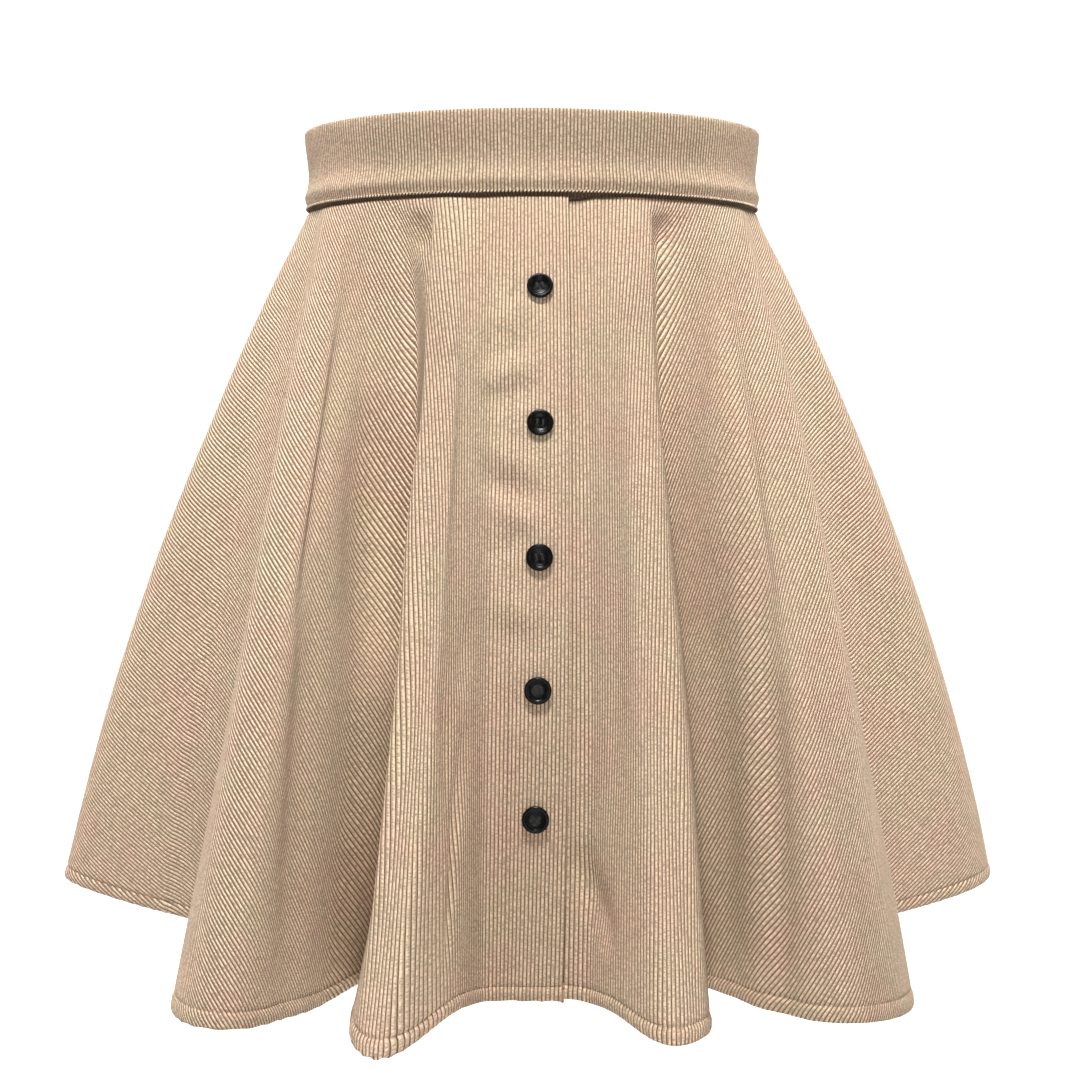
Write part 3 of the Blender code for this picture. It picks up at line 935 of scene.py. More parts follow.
@dataclass(frozen=True)
class Corduroy:
    """The face of the cloth: matt ribs of cotton pile over darker grooves, partly their own colour and partly
    painted shade, with painted shade in the seam's ditch.
    """

    name: str = "beige corduroy face"
    pitch: float = 1.84 * MM
    rib: tuple[int, int, int] = (232, 204, 175)
    rib_warm: tuple[int, int, int] = (231, 197, 170)
    rib_cool: tuple[int, int, int] = (226, 203, 171)
    # Painted shade, in part: the grooves are coloured darker than their own ground weave, standing in for the
    # shade inside them.
    groove: tuple[int, int, int] = (80, 53, 37)
    # Painted shade: the near-black laid where the cloth turns in under the waistband and along the hem's
    # stitch row.
    ditch: tuple[int, int, int] = (66, 44, 25)
    rubbed: tuple[int, int, int] = (240, 217, 190)
    depth: float = 0.8 * MM

    def make(self, wales: bpy.types.NodeTree, wear: bpy.types.NodeTree) -> bpy.types.Material:
        """Makes the material.

        Args:
            wales: The wale group.
            wear: The wear group.

        Returns:
            The material.
        """
        made, wire, shader = new_finish(
            self.name,
            0.92,
            Sheen_Weight=0.22,
            Sheen_Roughness=0.45,
            Sheen_Tint=linear(238, 214, 190),
            Specular_IOR_Level=0.18,
        )
        flat = wire.add("ShaderNodeUVMap", uv_map="flat cut").outputs[0]
        ribs = wire.add("ShaderNodeGroup", node_tree=wales)
        wire.tree.links.new(flat, ribs.inputs["Flat"])
        ribs.inputs["Pitch"].default_value = self.pitch
        rub = wire.add("ShaderNodeAttribute", attribute_name="rubbed").outputs["Fac"]
        worn = wire.add("ShaderNodeGroup", {"Place": flat, "Scale": 60.0, "Rubbed": rub}, node_tree=wear)
        lie = wire.ramp(ribs.outputs["Lie"], 0.36, 0.64, 0.0, 1.0)
        patch = wire.ramp(worn.outputs["Patch"], 0.38, 0.66, 0.0, 0.75)
        tone = wire.mix(lie, linear(*self.rib_cool), linear(*self.rib_warm))
        tone = wire.mix(patch, tone, linear(*self.rib))
        tone = wire.mix(worn.outputs["Wear"], tone, linear(*self.rubbed))
        fleck = wire.ramp(ribs.outputs["Fleck"], 0.3, 0.7, 0.56, 1.26)
        fleck_colour = wire.add("ShaderNodeCombineColor", {0: fleck, 1: fleck, 2: fleck}).outputs[0]
        tone = wire.mix(1.0, tone, fleck_colour, "MULTIPLY")
        # The grooves' colour: partly the cloth's own, partly painted shade.
        groove_and_painted_shade_share = wire.math("MULTIPLY", ribs.outputs["Groove"], 0.94)
        colour = wire.mix(groove_and_painted_shade_share, tone, linear(*self.groove))
        # Painted shade: the sunk attribute lays the dark ditch colour in the seam under the band and along
        # the hem's stitch row, broken up by the grooves.
        sunk = wire.add("ShaderNodeAttribute", attribute_name="sunk").outputs["Fac"]
        ditch = wire.ramp(wire.math("MULTIPLY_ADD", ribs.outputs["Groove"], 0.26, sunk), 0.56, 0.8, 0.0, 0.88)
        colour = wire.mix(ditch, colour, linear(*self.ditch))
        bump = wire.bump(ribs.outputs["Height"], self.depth, 0.9)
        wire.tree.links.new(colour, shader.inputs["Base Color"])
        wire.tree.links.new(bump, shader.inputs["Normal"])
        rough = wire.ramp(ribs.outputs["Fleck"], 0.2, 0.8, 0.97, 0.86)
        wire.tree.links.new(rough, shader.inputs["Roughness"])
        return made


@dataclass(frozen=True)
class WovenBack:
    """A flat woven surface, such as the cloth's wrong side or a zip's tape."""

    name: str
    colour: tuple[int, int, int]
    dark: tuple[int, int, int]
    yarn: float = 0.7 * MM
    on_uv: bool = True

    def make(self, weave: bpy.types.NodeTree, wear: bpy.types.NodeTree) -> bpy.types.Material:
        """Makes the material.

        Args:
            weave: The weave group.
            wear: The wear group.

        Returns:
            The material.
        """
        made, wire, shader = new_finish(self.name, 0.9, Sheen_Weight=0.08, Specular_IOR_Level=0.2)
        if self.on_uv:
            place = wire.add("ShaderNodeUVMap", uv_map="flat cut").outputs[0]
        else:
            place = wire.add("ShaderNodeTexCoord").outputs["Object"]
        cloth = wire.add("ShaderNodeGroup", node_tree=weave)
        wire.tree.links.new(place, cloth.inputs["Place"])
        cloth.inputs["Yarn"].default_value = self.yarn
        worn = wire.add("ShaderNodeGroup", {"Place": place, "Scale": 25.0, "Rubbed": 0.5}, node_tree=wear)
        colour = wire.mix(cloth.outputs["Shade"], linear(*self.dark), linear(*self.colour))
        light = tuple(min(255, value + 12) for value in self.colour)
        colour = wire.mix(wire.math("MULTIPLY", worn.outputs["Wear"], 0.4), colour, linear(*light))
        bump = wire.bump(cloth.outputs["Height"], 0.12 * MM, 0.6)
        wire.tree.links.new(colour, shader.inputs["Base Color"])
        wire.tree.links.new(bump, shader.inputs["Normal"])
        return made


@dataclass(frozen=True)
class Thread:
    """Twisted sewing thread."""

    name: str
    colour: tuple[int, int, int]
    twist: float = 1400.0

    def make(self) -> bpy.types.Material:
        """Makes the material."""
        made, wire, shader = new_finish(self.name, 0.62, Sheen_Weight=0.2, Specular_IOR_Level=0.35)
        place = wire.add("ShaderNodeTexCoord").outputs["Object"]
        ply = wire.noise(place, self.twist, 3.0)
        dark = tuple(int(value * 0.72) for value in self.colour)
        colour = wire.mix(wire.ramp(ply, 0.3, 0.7, 0.0, 1.0), linear(*dark), linear(*self.colour))
        bump = wire.bump(ply, 0.08 * MM, 0.5)
        wire.tree.links.new(colour, shader.inputs["Base Color"])
        wire.tree.links.new(bump, shader.inputs["Normal"])
        return made


@dataclass(frozen=True)
class HardFinish:
    """A moulded or enamelled surface, with fine scuffs and a dusty film."""

    name: str
    colour: tuple[int, int, int]
    worn: tuple[int, int, int]
    roughness: float
    metallic: float = 0.0
    coat: float = 0.0
    specular: float = 0.5

    def make(self, wear: bpy.types.NodeTree) -> bpy.types.Material:
        """Makes the material.

        Args:
            wear: The wear group.

        Returns:
            The material.
        """
        made, wire, shader = new_finish(
            self.name,
            self.roughness,
            Metallic=self.metallic,
            Coat_Weight=self.coat,
            Coat_Roughness=0.18,
            Specular_IOR_Level=self.specular,
        )
        place = wire.add("ShaderNodeTexCoord").outputs["Object"]
        worn = wire.add("ShaderNodeGroup", {"Place": place, "Scale": 700.0, "Rubbed": 0.55}, node_tree=wear)
        grain = wire.noise(place, 2600.0, 2.0)
        film = wire.math("MULTIPLY", worn.outputs["Wear"], 0.3)
        colour = wire.mix(film, linear(*self.colour), linear(*self.worn))
        rough = wire.ramp(worn.outputs["Patch"], 0.3, 0.7, self.roughness * 0.8, self.roughness * 1.3)
        bump = wire.bump(grain, 0.02 * MM, 0.25)
        wire.tree.links.new(colour, shader.inputs["Base Color"])
        wire.tree.links.new(rough, shader.inputs["Roughness"])
        wire.tree.links.new(bump, shader.inputs["Normal"])
        return made


@dataclass
class Wardrobe:
    """Every finish of the skirt, made once."""

    face: bpy.types.Material = field(init=False)
    back: bpy.types.Material = field(init=False)
    facing: bpy.types.Material = field(init=False)
    tape: bpy.types.Material = field(init=False)
    thread: bpy.types.Material = field(init=False)
    button_thread: bpy.types.Material = field(init=False)
    rope: bpy.types.Material = field(init=False)
    resin: bpy.types.Material = field(init=False)
    enamel: bpy.types.Material = field(init=False)
    coil: bpy.types.Material = field(init=False)

    def __post_init__(self) -> None:
        """Builds the shared groups, and the materials on them."""
        wales, weave, wear = wale_group(), weave_group(), wear_group()
        self.face = Corduroy().make(wales, wear)
        self.back = WovenBack("corduroy wrong side", (206, 176, 148), (166, 134, 106)).make(weave, wear)
        facing = WovenBack("waistband facing", (214, 188, 160), (178, 148, 118), 0.5 * MM)
        self.facing = facing.make(weave, wear)
        self.tape = WovenBack("zip tape", (204, 172, 140), (158, 124, 94), 0.8 * MM, False).make(weave, wear)
        # The stitching thread is partly its own beige and partly painted shade: darker than the cloth, it
        # stands for the shade in the stitch holes.
        self.thread = Thread("beige thread", (168, 136, 106)).make()
        self.button_thread = Thread("black thread", (16, 15, 16)).make()
        # Painted highlight: the rolled edge's pile is coloured paler than the cloth, for the light that its
        # rolled wale ends catch.
        self.rope = Thread("pale rolled pile", (248, 226, 198), 900.0).make()
        self.resin = HardFinish("black resin", (3, 3, 4), (9, 10, 12), 0.3, 0.0, 0.0, 0.16).make(wear)
        enamel = HardFinish("enamelled metal", (168, 136, 106), (196, 190, 180), 0.38, 0.25, 0.3)
        self.enamel = enamel.make(wear)
        self.coil = HardFinish("nylon coil", (196, 164, 132), (214, 190, 164), 0.45).make(wear)


# --------------------------------------------------------------------------
# Mesh helpers
# --------------------------------------------------------------------------


def finished_mesh(name: str, shape: bmesh.types.BMesh) -> bpy.types.Mesh:
    """Writes a bmesh into a new mesh, and frees it.

    Args:
        name: The mesh's name.
        shape: The bmesh.

    Returns:
        The mesh.
    """
    mesh = bpy.data.meshes.new(name)
    shape.to_mesh(mesh)
    shape.free()
    return mesh


def read_along(distance: float, travelled: Grid, values: Grid) -> Vector:
    """Reads a path's values at a distance along it.

    Args:
        distance: The distance.
        travelled: How far along each of the path's points is.
        values: Three values for each point.

    Returns:
        The three values there.
    """
    return Vector([float(np.interp(distance, travelled, values[:, k])) for k in range(3)])


def link_piece(name: str, mesh: bpy.types.Mesh, materials: list[bpy.types.Material]) -> bpy.types.Object:
    """Puts a mesh into the scene as a piece.

    Args:
        name: The piece's name.
        mesh: Its mesh.
        materials: Its materials, in slot order.

    Returns:
        The piece.
    """
    made = bpy.data.objects.new(name, mesh)
    mesh.materials.clear()
    for material in materials:
        mesh.materials.append(material)
    bpy.context.scene.collection.objects.link(made)
    return made


def settle(piece: bpy.types.Object, sharp: float = 55.0) -> bpy.types.Object:
    """Applies a piece's modifiers and shades it smooth up to an angle.

    Args:
        piece: The piece.
        sharp: The angle past which an edge stays sharp, in degrees.

    Returns:
        The same piece.
    """
    graph = bpy.context.evaluated_depsgraph_get()
    mesh = bpy.data.meshes.new_from_object(piece.evaluated_get(graph), depsgraph=graph)
    old = piece.data
    piece.modifiers.clear()
    piece.data = mesh
    mesh.name = piece.name
    bpy.data.meshes.remove(old)
    mesh.shade_smooth()
    mesh.set_sharp_from_angle(angle=math.radians(sharp))
    return piece


def grid_shape(rows: int, columns: int) -> tuple[bmesh.types.BMesh, list[tuple[int, int]]]:
    """Starts a bmesh on a flat grid whose face will look outwards.

    Args:
        rows: How many rows of points.
        columns: How many columns of points.

    Returns:
        The bmesh, and each vertex's row and column.
    """
    shape = bmesh.new()
    bmesh.ops.create_grid(shape, x_segments=columns - 1, y_segments=rows - 1, size=1.0)
    shape.verts.ensure_lookup_table()
    where = [
        (round((1.0 - v.co.y) / 2.0 * (rows - 1)), round((v.co.x + 1.0) / 2.0 * (columns - 1)))
        for v in shape.verts
    ]
    return shape, where


@dataclass(frozen=True)
class StitchRow:
    """A run of machine stitches."""

    length: float = 2.5 * MM
    gap: float = 1.0 * MM
    thickness: float = 0.42 * MM
    slant: float = 0.0

    def sew(self, shape: bmesh.types.BMesh, path: Grid, normals: Grid, sunk: float) -> int:
        """Lays stitches along a path.

        Args:
            shape: The bmesh that gets them.
            path: Points along the seam line.
            normals: The cloth's normal at each point.
            sunk: How far the thread's middle lies under the path.

        Returns:
            How many stitches were made.
        """
        steps = np.linalg.norm(np.diff(path, axis=0), axis=1)
        travelled = np.concatenate(([0.0], np.cumsum(steps)))
        count = int(travelled[-1] / (self.length + self.gap))
        for number in range(count):
            middle = (number + 0.5) * travelled[-1] / count
            ends = [read_along(middle + side * self.length / 2.0, travelled, path) for side in (-1.0, 1.0)]
            out = read_along(middle, travelled, normals).normalized()
            along = (ends[1] - ends[0]).normalized()
            side = out.cross(along).normalized()
            out = along.cross(side)
            lean = Matrix.Rotation(math.radians(self.slant), 4, "Z")
            turn = Matrix((along, side, out)).transposed().to_4x4() @ lean
            size = Matrix.Diagonal((self.length / 2.0, self.thickness / 2.0, self.thickness / 2.0, 1.0))
            place = Matrix.Translation((ends[0] + ends[1]) / 2.0 - out * sunk)
            bmesh.ops.create_icosphere(shape, subdivisions=1, radius=1.0, matrix=place @ turn @ size)
        return count


# --------------------------------------------------------------------------
# The cloth panels
# --------------------------------------------------------------------------


class Side(Enum):
    """Which end of a panel's columns is meant."""

    START = 0
    END = 1


@dataclass
class Column:
    """One column of a panel: where it runs, and how deep it lies."""

    place: float
    nudge: float
    depth: float = 0.0
    flat: float = 0.0
    turned: bool = False
    rubbed: float = 0.0


@dataclass(frozen=True)
class Row:
    """One row of a panel: which row of the drape, how deep and how far down the cut."""

    index: int
    depth: float
    gone: float
    turned: bool


# Row distances below the cloth's top edge and on both sides of the hem's
# stitches, and column distances from a side seam, in mm.
TOP_ROWS = (0.0, 0.3, 0.6, 0.9, 1.25, 1.6, 2.1, 2.8, 3.8, 5.2, 7.0, 9.2)
HEM_ROWS = (-4.0, -2.6, -1.6, -1.1, -0.7, -0.35, 0.0, 0.35, 0.7, 1.1, 1.7, 2.6, 3.8, 5.2)
SEAM_COLUMNS = (0.0, 0.15, 0.35, 0.6, 1.0, 1.6, 2.4, 3.4)


@dataclass
class Panel:
    """One cut piece of the skirt's cloth."""

    name: str
    node: str
    drape: Drape
    step: float
    grain: Grain = FRONT_GRAIN
    heart: float = 0.0
    ply: float = 0.9 * MM
    seam_gap: float = 0.3 * MM
    roll: float = 1.1 * MM
    fold_radius: float = 1.0 * MM
    ditch: float = 2.6 * MM
    rise: float = 2.8 * MM
    shade_drop: float = 0.0
    hem_turn: float = 9.0 * MM
    hem_stitch: float = 7.6 * MM
    row_step: float = 4.4 * MM
    plain_start: float = 7.0 * MM
    plain_end: float = 13.0 * MM
    squeeze_reach: float = 22.0 * MM
    stitch_shade: float = 0.66
    facing: float = 0.0
    flat_radius: float = 145.4 * MM
    columns: list[Column] = field(default_factory=list)
    points: Grid = field(init=False)
    normals: Grid = field(init=False)
    drops: Grid = field(init=False)
    stitch_row: int = field(init=False)

    # ---- columns -------------------------------------------------------

    def roll_depth(self, away: float) -> float:
        """Finds how deep the cloth rolls in beside a seam.

        Args:
            away: Distance from the seam.

        Returns:
            The depth.
        """
        curl = 0.0
        if away < self.roll:
            curl = self.roll - math.sqrt(self.roll**2 - (self.roll - away) ** 2)
        return curl + 0.35 * MM * math.exp(-away / (3.0 * MM))

    def ditch_depth(self, drop: float) -> float:
        """Finds how deep the cloth's top lies where it turns in under the band.

        Args:
            drop: Distance down from the waist seam.

        Returns:
            The depth.
        """
        near = max(0.0, 1.0 - (drop + self.rise) / self.ditch)
        return 2.4 * MM * (1.0 - math.sqrt(max(0.0, 1.0 - near**2))) + 0.3 * MM * near

    def seam_columns(self, place: float, side: Side) -> list[Column]:
        """Makes the close columns beside a side seam.

        Args:
            place: The seam's place.
            side: The end of the panel that it is at.

        Returns:
            The columns, from the start of the panel to its end.
        """
        inward = 1.0 if side is Side.START else -1.0
        made = [
            Column(place, inward * (self.seam_gap / 2.0 + away * MM), self.roll_depth(away * MM))
            for away in SEAM_COLUMNS
        ]
        return made if side is Side.START else made[::-1]

    def plain_columns(self, first: int, last: int, start_nudge: float, end_nudge: float) -> list[Column]:
        """Makes the columns between two fold lines.

        Args:
            first: The fold line that they start at.
            last: The fold line that they end at.
            start_nudge: The nudge at the first one, gone by the next line.
            end_nudge: The nudge at the last one, begun at the line before.

        Returns:
            The columns.
        """
        lines = self.drape.lines
        made = []
        for place in self.drape.columns(first, last, self.step, 7):
            leaving = max(0.0, 1.0 - (place - lines[first]) / (lines[first + 1] - lines[first]))
            nearing = max(0.0, 1.0 - (lines[last] - place) / (lines[last] - lines[last - 1]))
            made.append(Column(float(place), leaving * start_nudge + nearing * end_nudge))
        return made

    # ---- rows ----------------------------------------------------------

    def row_table(self) -> tuple[Grid, list[Row]]:
        """Spaces the rows, from the waist seam round the hem's fold.

        Returns:
            Rising distances down the cloth, and the rows of the mesh on them.
        """
        length, radius = self.drape.length, self.fold_radius
        top = np.array(TOP_ROWS) * MM - self.rise
        near_hem = length - self.plain_end
        count = round((near_hem - self.plain_start) / self.row_step)
        plain = np.linspace(self.plain_start, near_hem, count)
        groove = length - self.hem_stitch
        fine = groove + np.array(HEM_ROWS) * MM
        straight = np.concatenate((top, plain, fine, [length - radius]))
        turns = np.radians([22.5, 45.0, 67.5, 90.0])
        drops = np.concatenate((straight, length - radius + radius * np.sin(turns)))
        arc = radius - radius * np.cos(turns)
        rows = [Row(i, self.ditch_depth(drop), drop, False) for i, drop in enumerate(straight)]
        for j, depth in enumerate(arc):
            rows.append(Row(len(straight) + j, depth, length - radius + radius * turns[j], False))
        for j in range(len(arc) - 2, -1, -1):
            gone = length + radius * (math.pi / 2.0 - turns[j])
            rows.append(Row(len(straight) + j, 2.0 * radius - arc[j], gone, True))
        i = len(straight) - 1
        while straight[i] > length - self.hem_turn:
            rows.append(Row(i, 2.0 * radius, 2.0 * length - straight[i], True))
            i -= 1
        self.stitch_row = int(np.argmin(np.abs(drops - groove)))
        return drops, rows

    # ---- the surface ---------------------------------------------------

    def own_depth(self, drops: Grid, around: Grid) -> Grid:
        """Gives the extra depth that only this panel has.

        Args:
            drops: Each row's distance down the cloth.
            around: Each point's distance round from the placket.

        Returns:
            The depth at each point.
        """
        return np.zeros_like(around)

    def lay(self) -> Grid:
        """Lays the panel's points on the drape, with its creases and tucks.

        Returns:
            How far round the waist the cut cloth at each point starts.
        """
        places = np.array([c.place for c in self.columns])
        nudges = np.array([c.nudge for c in self.columns])
        base, around, lengths = self.drape.surface(self.drops, places, nudges)
        flat_around = around + np.array([c.flat for c in self.columns])[None, :]
        deep = self.own_depth(self.drops, around)
        for crease in CREASES:
            deep = deep - crease.lift(self.drape, self.drops, around, lengths)
        slides, cuts = np.zeros_like(around), np.zeros_like(around)
        for tuck in TUCKS:
            slide, sink, cut = tuck.form(self.drape, self.drops, around, lengths)
            slides, deep, cuts = slides + slide, deep + sink, cuts + cut
        roots = self.drape.rooted(self.drops, flat_around + cuts, self.heart)
        across, along = self.grain.cut(self.drops[:, None], roots)
        deep = deep - self.lumps(across, along) + self.hem_form(around)
        columns_deep = np.array([c.depth for c in self.columns])
        apart = self.spread(base, around)
        normals = outward_normals(apart)
        tangents = np.gradient(apart, axis=1)
        tangents /= np.linalg.norm(tangents, axis=2, keepdims=True)
        fade = np.exp(-((self.drops / self.squeeze_reach) ** 2))
        deep = deep + side_squeeze(around / lengths[:, None]) * fade[:, None]
        inward = deep + columns_deep[None, :]
        self.points = base + tangents * slides[:, :, None] - normals * inward[:, :, None]
        self.normals = outward_normals(self.spread(self.points, around))
        return roots

    def shaped(self, rows: list[Row], roots: Grid) -> bmesh.types.BMesh:
        """Makes the panel's single ply, with its cut, its wear and its shade.

        Args:
            rows: The rows of the mesh.
            roots: How far round the waist the cut cloth at each point starts.

        Returns:
            The bmesh.
        """
        shape, where = grid_shape(len(rows), len(self.columns))
        flat = shape.loops.layers.uv.new("flat cut")
        rubbed = shape.verts.layers.float.new("rubbed")
        sunk = shape.verts.layers.float.new("sunk")
        table: list[tuple[float, float]] = []
        gone_down = np.array([row.gone for row in rows])[:, None]
        x_at, y_at = self.grain.cut(gone_down, roots[[row.index for row in rows]])
        for vert, (r, c) in zip(shape.verts, where):
            row = rows[r]
            vert.co = self.points[row.index, c] - self.normals[row.index, c] * row.depth
            table.append((float(x_at[r, c]), float(y_at[r, c])))
            in_lower_half = row.gone > self.drape.length / 2.0
            on_hem_fold = 0.4 * MM < row.depth and in_lower_half and not row.turned
            vert[rubbed] = max(self.columns[c].rubbed, 1.0 if on_hem_fold else 0.0)
            # Painted shade: the hem's stitch row and the cloth's top, where it turns in under the band, are
            # marked for the dark ditch colour.
            stitched = self.stitch_shade if row.index == self.stitch_row and not row.turned else 0.0
            vert[sunk] = max(stitched, 1.0 - (row.gone + self.rise - self.shade_drop) / (2.0 * self.ditch))
        for face in shape.faces:
            face.smooth = True
            for loop in face.loops:
                loop[flat].uv = table[loop.vert.index]
        self.trim(shape, where, rows)
        return shape

    def build(self, wardrobe: Wardrobe) -> bpy.types.Object:
        """Builds the panel.

        Args:
            wardrobe: The finishes.

        Returns:
            The piece.
        """
        self.drops, rows = self.row_table()
        mesh = finished_mesh(self.name, self.shaped(rows, self.lay()))
        piece = link_piece(self.name, mesh, [wardrobe.face, wardrobe.back])
        ply = piece.modifiers.new("Ply", "SOLIDIFY")
        ply.thickness = self.ply
        ply.offset = -1.0
        ply.material_offset = 1
        ply.material_offset_rim = 0
        settle(piece, 80.0)
        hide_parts(self.node)
        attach(piece, SKIRT_BODY)
        log.info("%s: %d columns, %d rows", self.name, len(self.columns), len(rows))
        return piece

    def spread(self, points: Grid, around: Grid) -> Grid:
        """Keeps columns apart, so that normals are sound where they meet.

        Args:
            points: The grid's points.
            around: Each point's distance round.

        Returns:
            The points to take normals from.
        """
        return points

    def lumps(self, across: Grid, along: Grid) -> Grid:
        """Works out the cloth's slight unevenness.

        Args:
            across: Flat distances across.
            along: Flat distances down.

        Returns:
            The lift at each point.
        """
        lift = np.zeros_like(across)
        for (r, c), x in np.ndenumerate(across):
            y = along[r, c]
            broad = noise.noise(Vector((x * 14.0, y * 9.0, 3.1)))
            close = noise.noise(Vector((x * 42.0, y * 26.0, 8.7)))
            lift[r, c] = 0.55 * MM * broad + 0.16 * MM * close
        ease = eased(self.drops / (30.0 * MM))[:, None]
        return lift * ease

    def hem_form(self, around: Grid) -> Grid:
        """Sinks the hem's stitch line and puffs the turned edge.

        Args:
            around: Each point's distance round from the placket.

        Returns:
            The depth at each point.
        """
        below = self.drops - (self.drape.length - self.hem_stitch)
        groove = 0.5 * MM * np.exp(-((below / (0.8 * MM)) ** 2))
        puff = -0.5 * MM * np.exp(-(((below - 3.6 * MM) / (2.2 * MM)) ** 2))
        twist = np.sin(around / (1.7 * MM) + 2.0 * np.sin(around / (11.0 * MM)))
        rope = 0.12 * MM * eased(below / (2.0 * MM))[:, None] * twist
        return (groove + puff)[:, None] + rope

    def trim(self, shape: bmesh.types.BMesh, where: list[tuple[int, int]], rows: list[Row]) -> None:
        """Takes away the corner where the hem and a facing would overlap.

        Args:
            shape: The panel's bmesh.
            where: Each vertex's row and column.
            rows: The rows of the mesh.
        """
        limit = self.drape.length - self.hem_turn - 0.6 * MM
        doomed = []
        for face in shape.faces:
            cells = [where[v.index] for v in face.verts]
            facing = any(self.columns[c].turned for _, c in cells)
            low = any(rows[r].gone > limit for r, _ in cells)
            if facing and low:
                doomed.append(face)
        if doomed:
            bmesh.ops.delete(shape, geom=doomed, context="FACES")

    def hem_path(self) -> tuple[Grid, Grid]:
        """Finds the hem's stitch line.

        Returns:
            Its points and normals.
        """
        plain = [i for i, c in enumerate(self.columns) if not c.turned]
        return self.points[self.stitch_row, plain], self.normals[self.stitch_row, plain]


@dataclass
class RightFront(Panel):
    """The wearer's right front, whose folded edge is the placket."""

    lap: float = 15.0 * MM
    stitch_at: float = -13.4 * MM
    facing: float = 12.0 * MM

    def lay_out(self) -> "RightFront":
        """Sets out the columns from the side seam to the placket's facing."""
        last = len(FOLD_LINES)
        first = line_number(RIGHT_SEAM)
        self.columns = self.seam_columns(float(self.drape.lines[first]), Side.START)
        self.columns += self.plain_columns(first, last, 4.6 * MM, -self.lap - 1.0 * MM)
        for away in (-15.2, -14.5, -14.1, -13.75, -13.4, -13.05, -12.7, -12.2, -11.4, -10.2):
            self.columns.append(Column(1.0, away * MM))
        for away in np.arange(-8.0, 13.0, 2.2):
            self.columns.append(Column(1.0, float(away) * MM))
        radius = self.fold_radius
        self.columns.append(Column(1.0, self.lap - radius))
        for turn in np.radians([22.5, 45.0, 67.5, 90.0]):
            depth = radius - radius * math.cos(turn)
            nudge = self.lap - radius + radius * math.sin(turn)
            flat = radius * (turn - math.sin(turn))
            self.columns.append(Column(1.0, nudge, depth, flat, False, 0.8))
        for turn in np.radians([67.5, 45.0, 22.5, 0.0]):
            depth = radius + radius * math.cos(turn)
            nudge = self.lap - radius + radius * math.sin(turn)
            flat = self.lap - radius + radius * (math.pi - turn) - nudge
            self.columns.append(Column(1.0, nudge, depth, flat, True, 0.3))
        for away in np.linspace(1.5 * MM, self.facing, 5):
            nudge = self.lap - radius - float(away)
            flat = self.lap - radius + math.pi * radius + float(away) - nudge
            self.columns.append(Column(1.0, nudge, 2.0 * radius, flat, True))
        return self

    def own_depth(self, drops: Grid, around: Grid) -> Grid:
        """Sinks the placket's stitch line.

        Args:
            drops: Each row's distance down the cloth.
            around: Each point's distance round from the placket.

        Returns:
            The depth at each point.
        """
        nudges = np.array([c.nudge if c.place == 1.0 and not c.turned else 1.0 for c in self.columns])
        groove = 0.3 * MM * np.exp(-(((nudges - self.stitch_at) / (0.7 * MM)) ** 2))
        fade = eased((self.drape.length - self.hem_stitch - drops) / (2.0 * MM))
        return fade[:, None] * groove[None, :]

    def spread(self, points: Grid, around: Grid) -> Grid:
        """Takes the facing's normals from the cloth in front of it.

        Args:
            points: The grid's points.
            around: Each point's distance round.

        Returns:
            The points to take normals from.
        """
        made = points.copy()
        edge = next(
            i
            for i, c in enumerate(self.columns)
            if c.depth > 0.0 and c.place == 1.0 and c.nudge > 0.0
        )
        step = made[:, edge - 1] - made[:, edge - 2]
        for extra, index in enumerate(range(edge, len(self.columns)), start=1):
            made[:, index] = made[:, edge - 1] + step * extra
        return made

    def placket_path(self) -> tuple[Grid, Grid]:
        """Finds the placket's stitch line.

        Returns:
            Its points and normals.
        """
        column = next(
            i
            for i, c in enumerate(self.columns)
            if c.place == 1.0 and abs(c.nudge - self.stitch_at) < 0.01 * MM
        )
        low = int(np.searchsorted(self.drops, self.drape.length - self.hem_turn))
        return self.points[3:low, column], self.normals[3:low, column]


@dataclass
class LeftFront(Panel):
    """The wearer's left front, which runs on behind the placket."""

    lap: float = 15.0 * MM
    under: float = 2.6 * MM
    shade_drop: float = 1.1 * MM

    def lay_out(self) -> "LeftFront":
        """Sets out the columns from the under-lap to the side seam."""
        last = line_number(LEFT_SEAM)
        for away in np.arange(-self.lap, self.lap - 0.5 * MM, 2.5 * MM):
            self.columns.append(Column(0.0, float(away)))
        self.columns += self.plain_columns(0, last, self.lap, -4.6 * MM)
        self.columns += self.seam_columns(float(self.drape.lines[last]), Side.END)
        return self

    def own_depth(self, drops: Grid, around: Grid) -> Grid:
        """Sets the under-lap behind the placket.

        Args:
            drops: Each row's distance down the cloth.
            around: Each point's distance round from the placket.

        Returns:
            The depth at each point.
        """
        places = np.array([c.place for c in self.columns])
        past = places / self.drape.lines[1]
        depth = self.under * (1.0 - eased(past * 1.15))
        return np.broadcast_to(depth[None, :], around.shape).copy()


@dataclass
class Back(Panel):
    """The back, cut in one."""

    def lay_out(self) -> "Back":
        """Sets out the columns from one side seam to the other."""
        first, last = line_number(LEFT_SEAM), line_number(RIGHT_SEAM)
        self.columns = self.seam_columns(float(self.drape.lines[first]), Side.START)
        self.columns += self.plain_columns(first, last, 4.6 * MM, -4.6 * MM)
        self.columns += self.seam_columns(float(self.drape.lines[last]), Side.END)
        return self


# --------------------------------------------------------------------------
# Waistband, buttons, stitches and zip
# --------------------------------------------------------------------------


def side_squeeze(share: Grid | float) -> Grid | float:
    """Finds how far the outer ply is drawn in at the wearer's two sides.

    Args:
        share: Share of the way round the waist, from the front's middle.

    Returns:
        The extra inset, in metres.
    """
    return 1.2 * MM * np.abs(np.sin(2.0 * math.pi * share)) ** 10


@dataclass(frozen=True)
class BandPoint:
    """A point of the waistband's section, in mm."""

    height: float
    inset: float


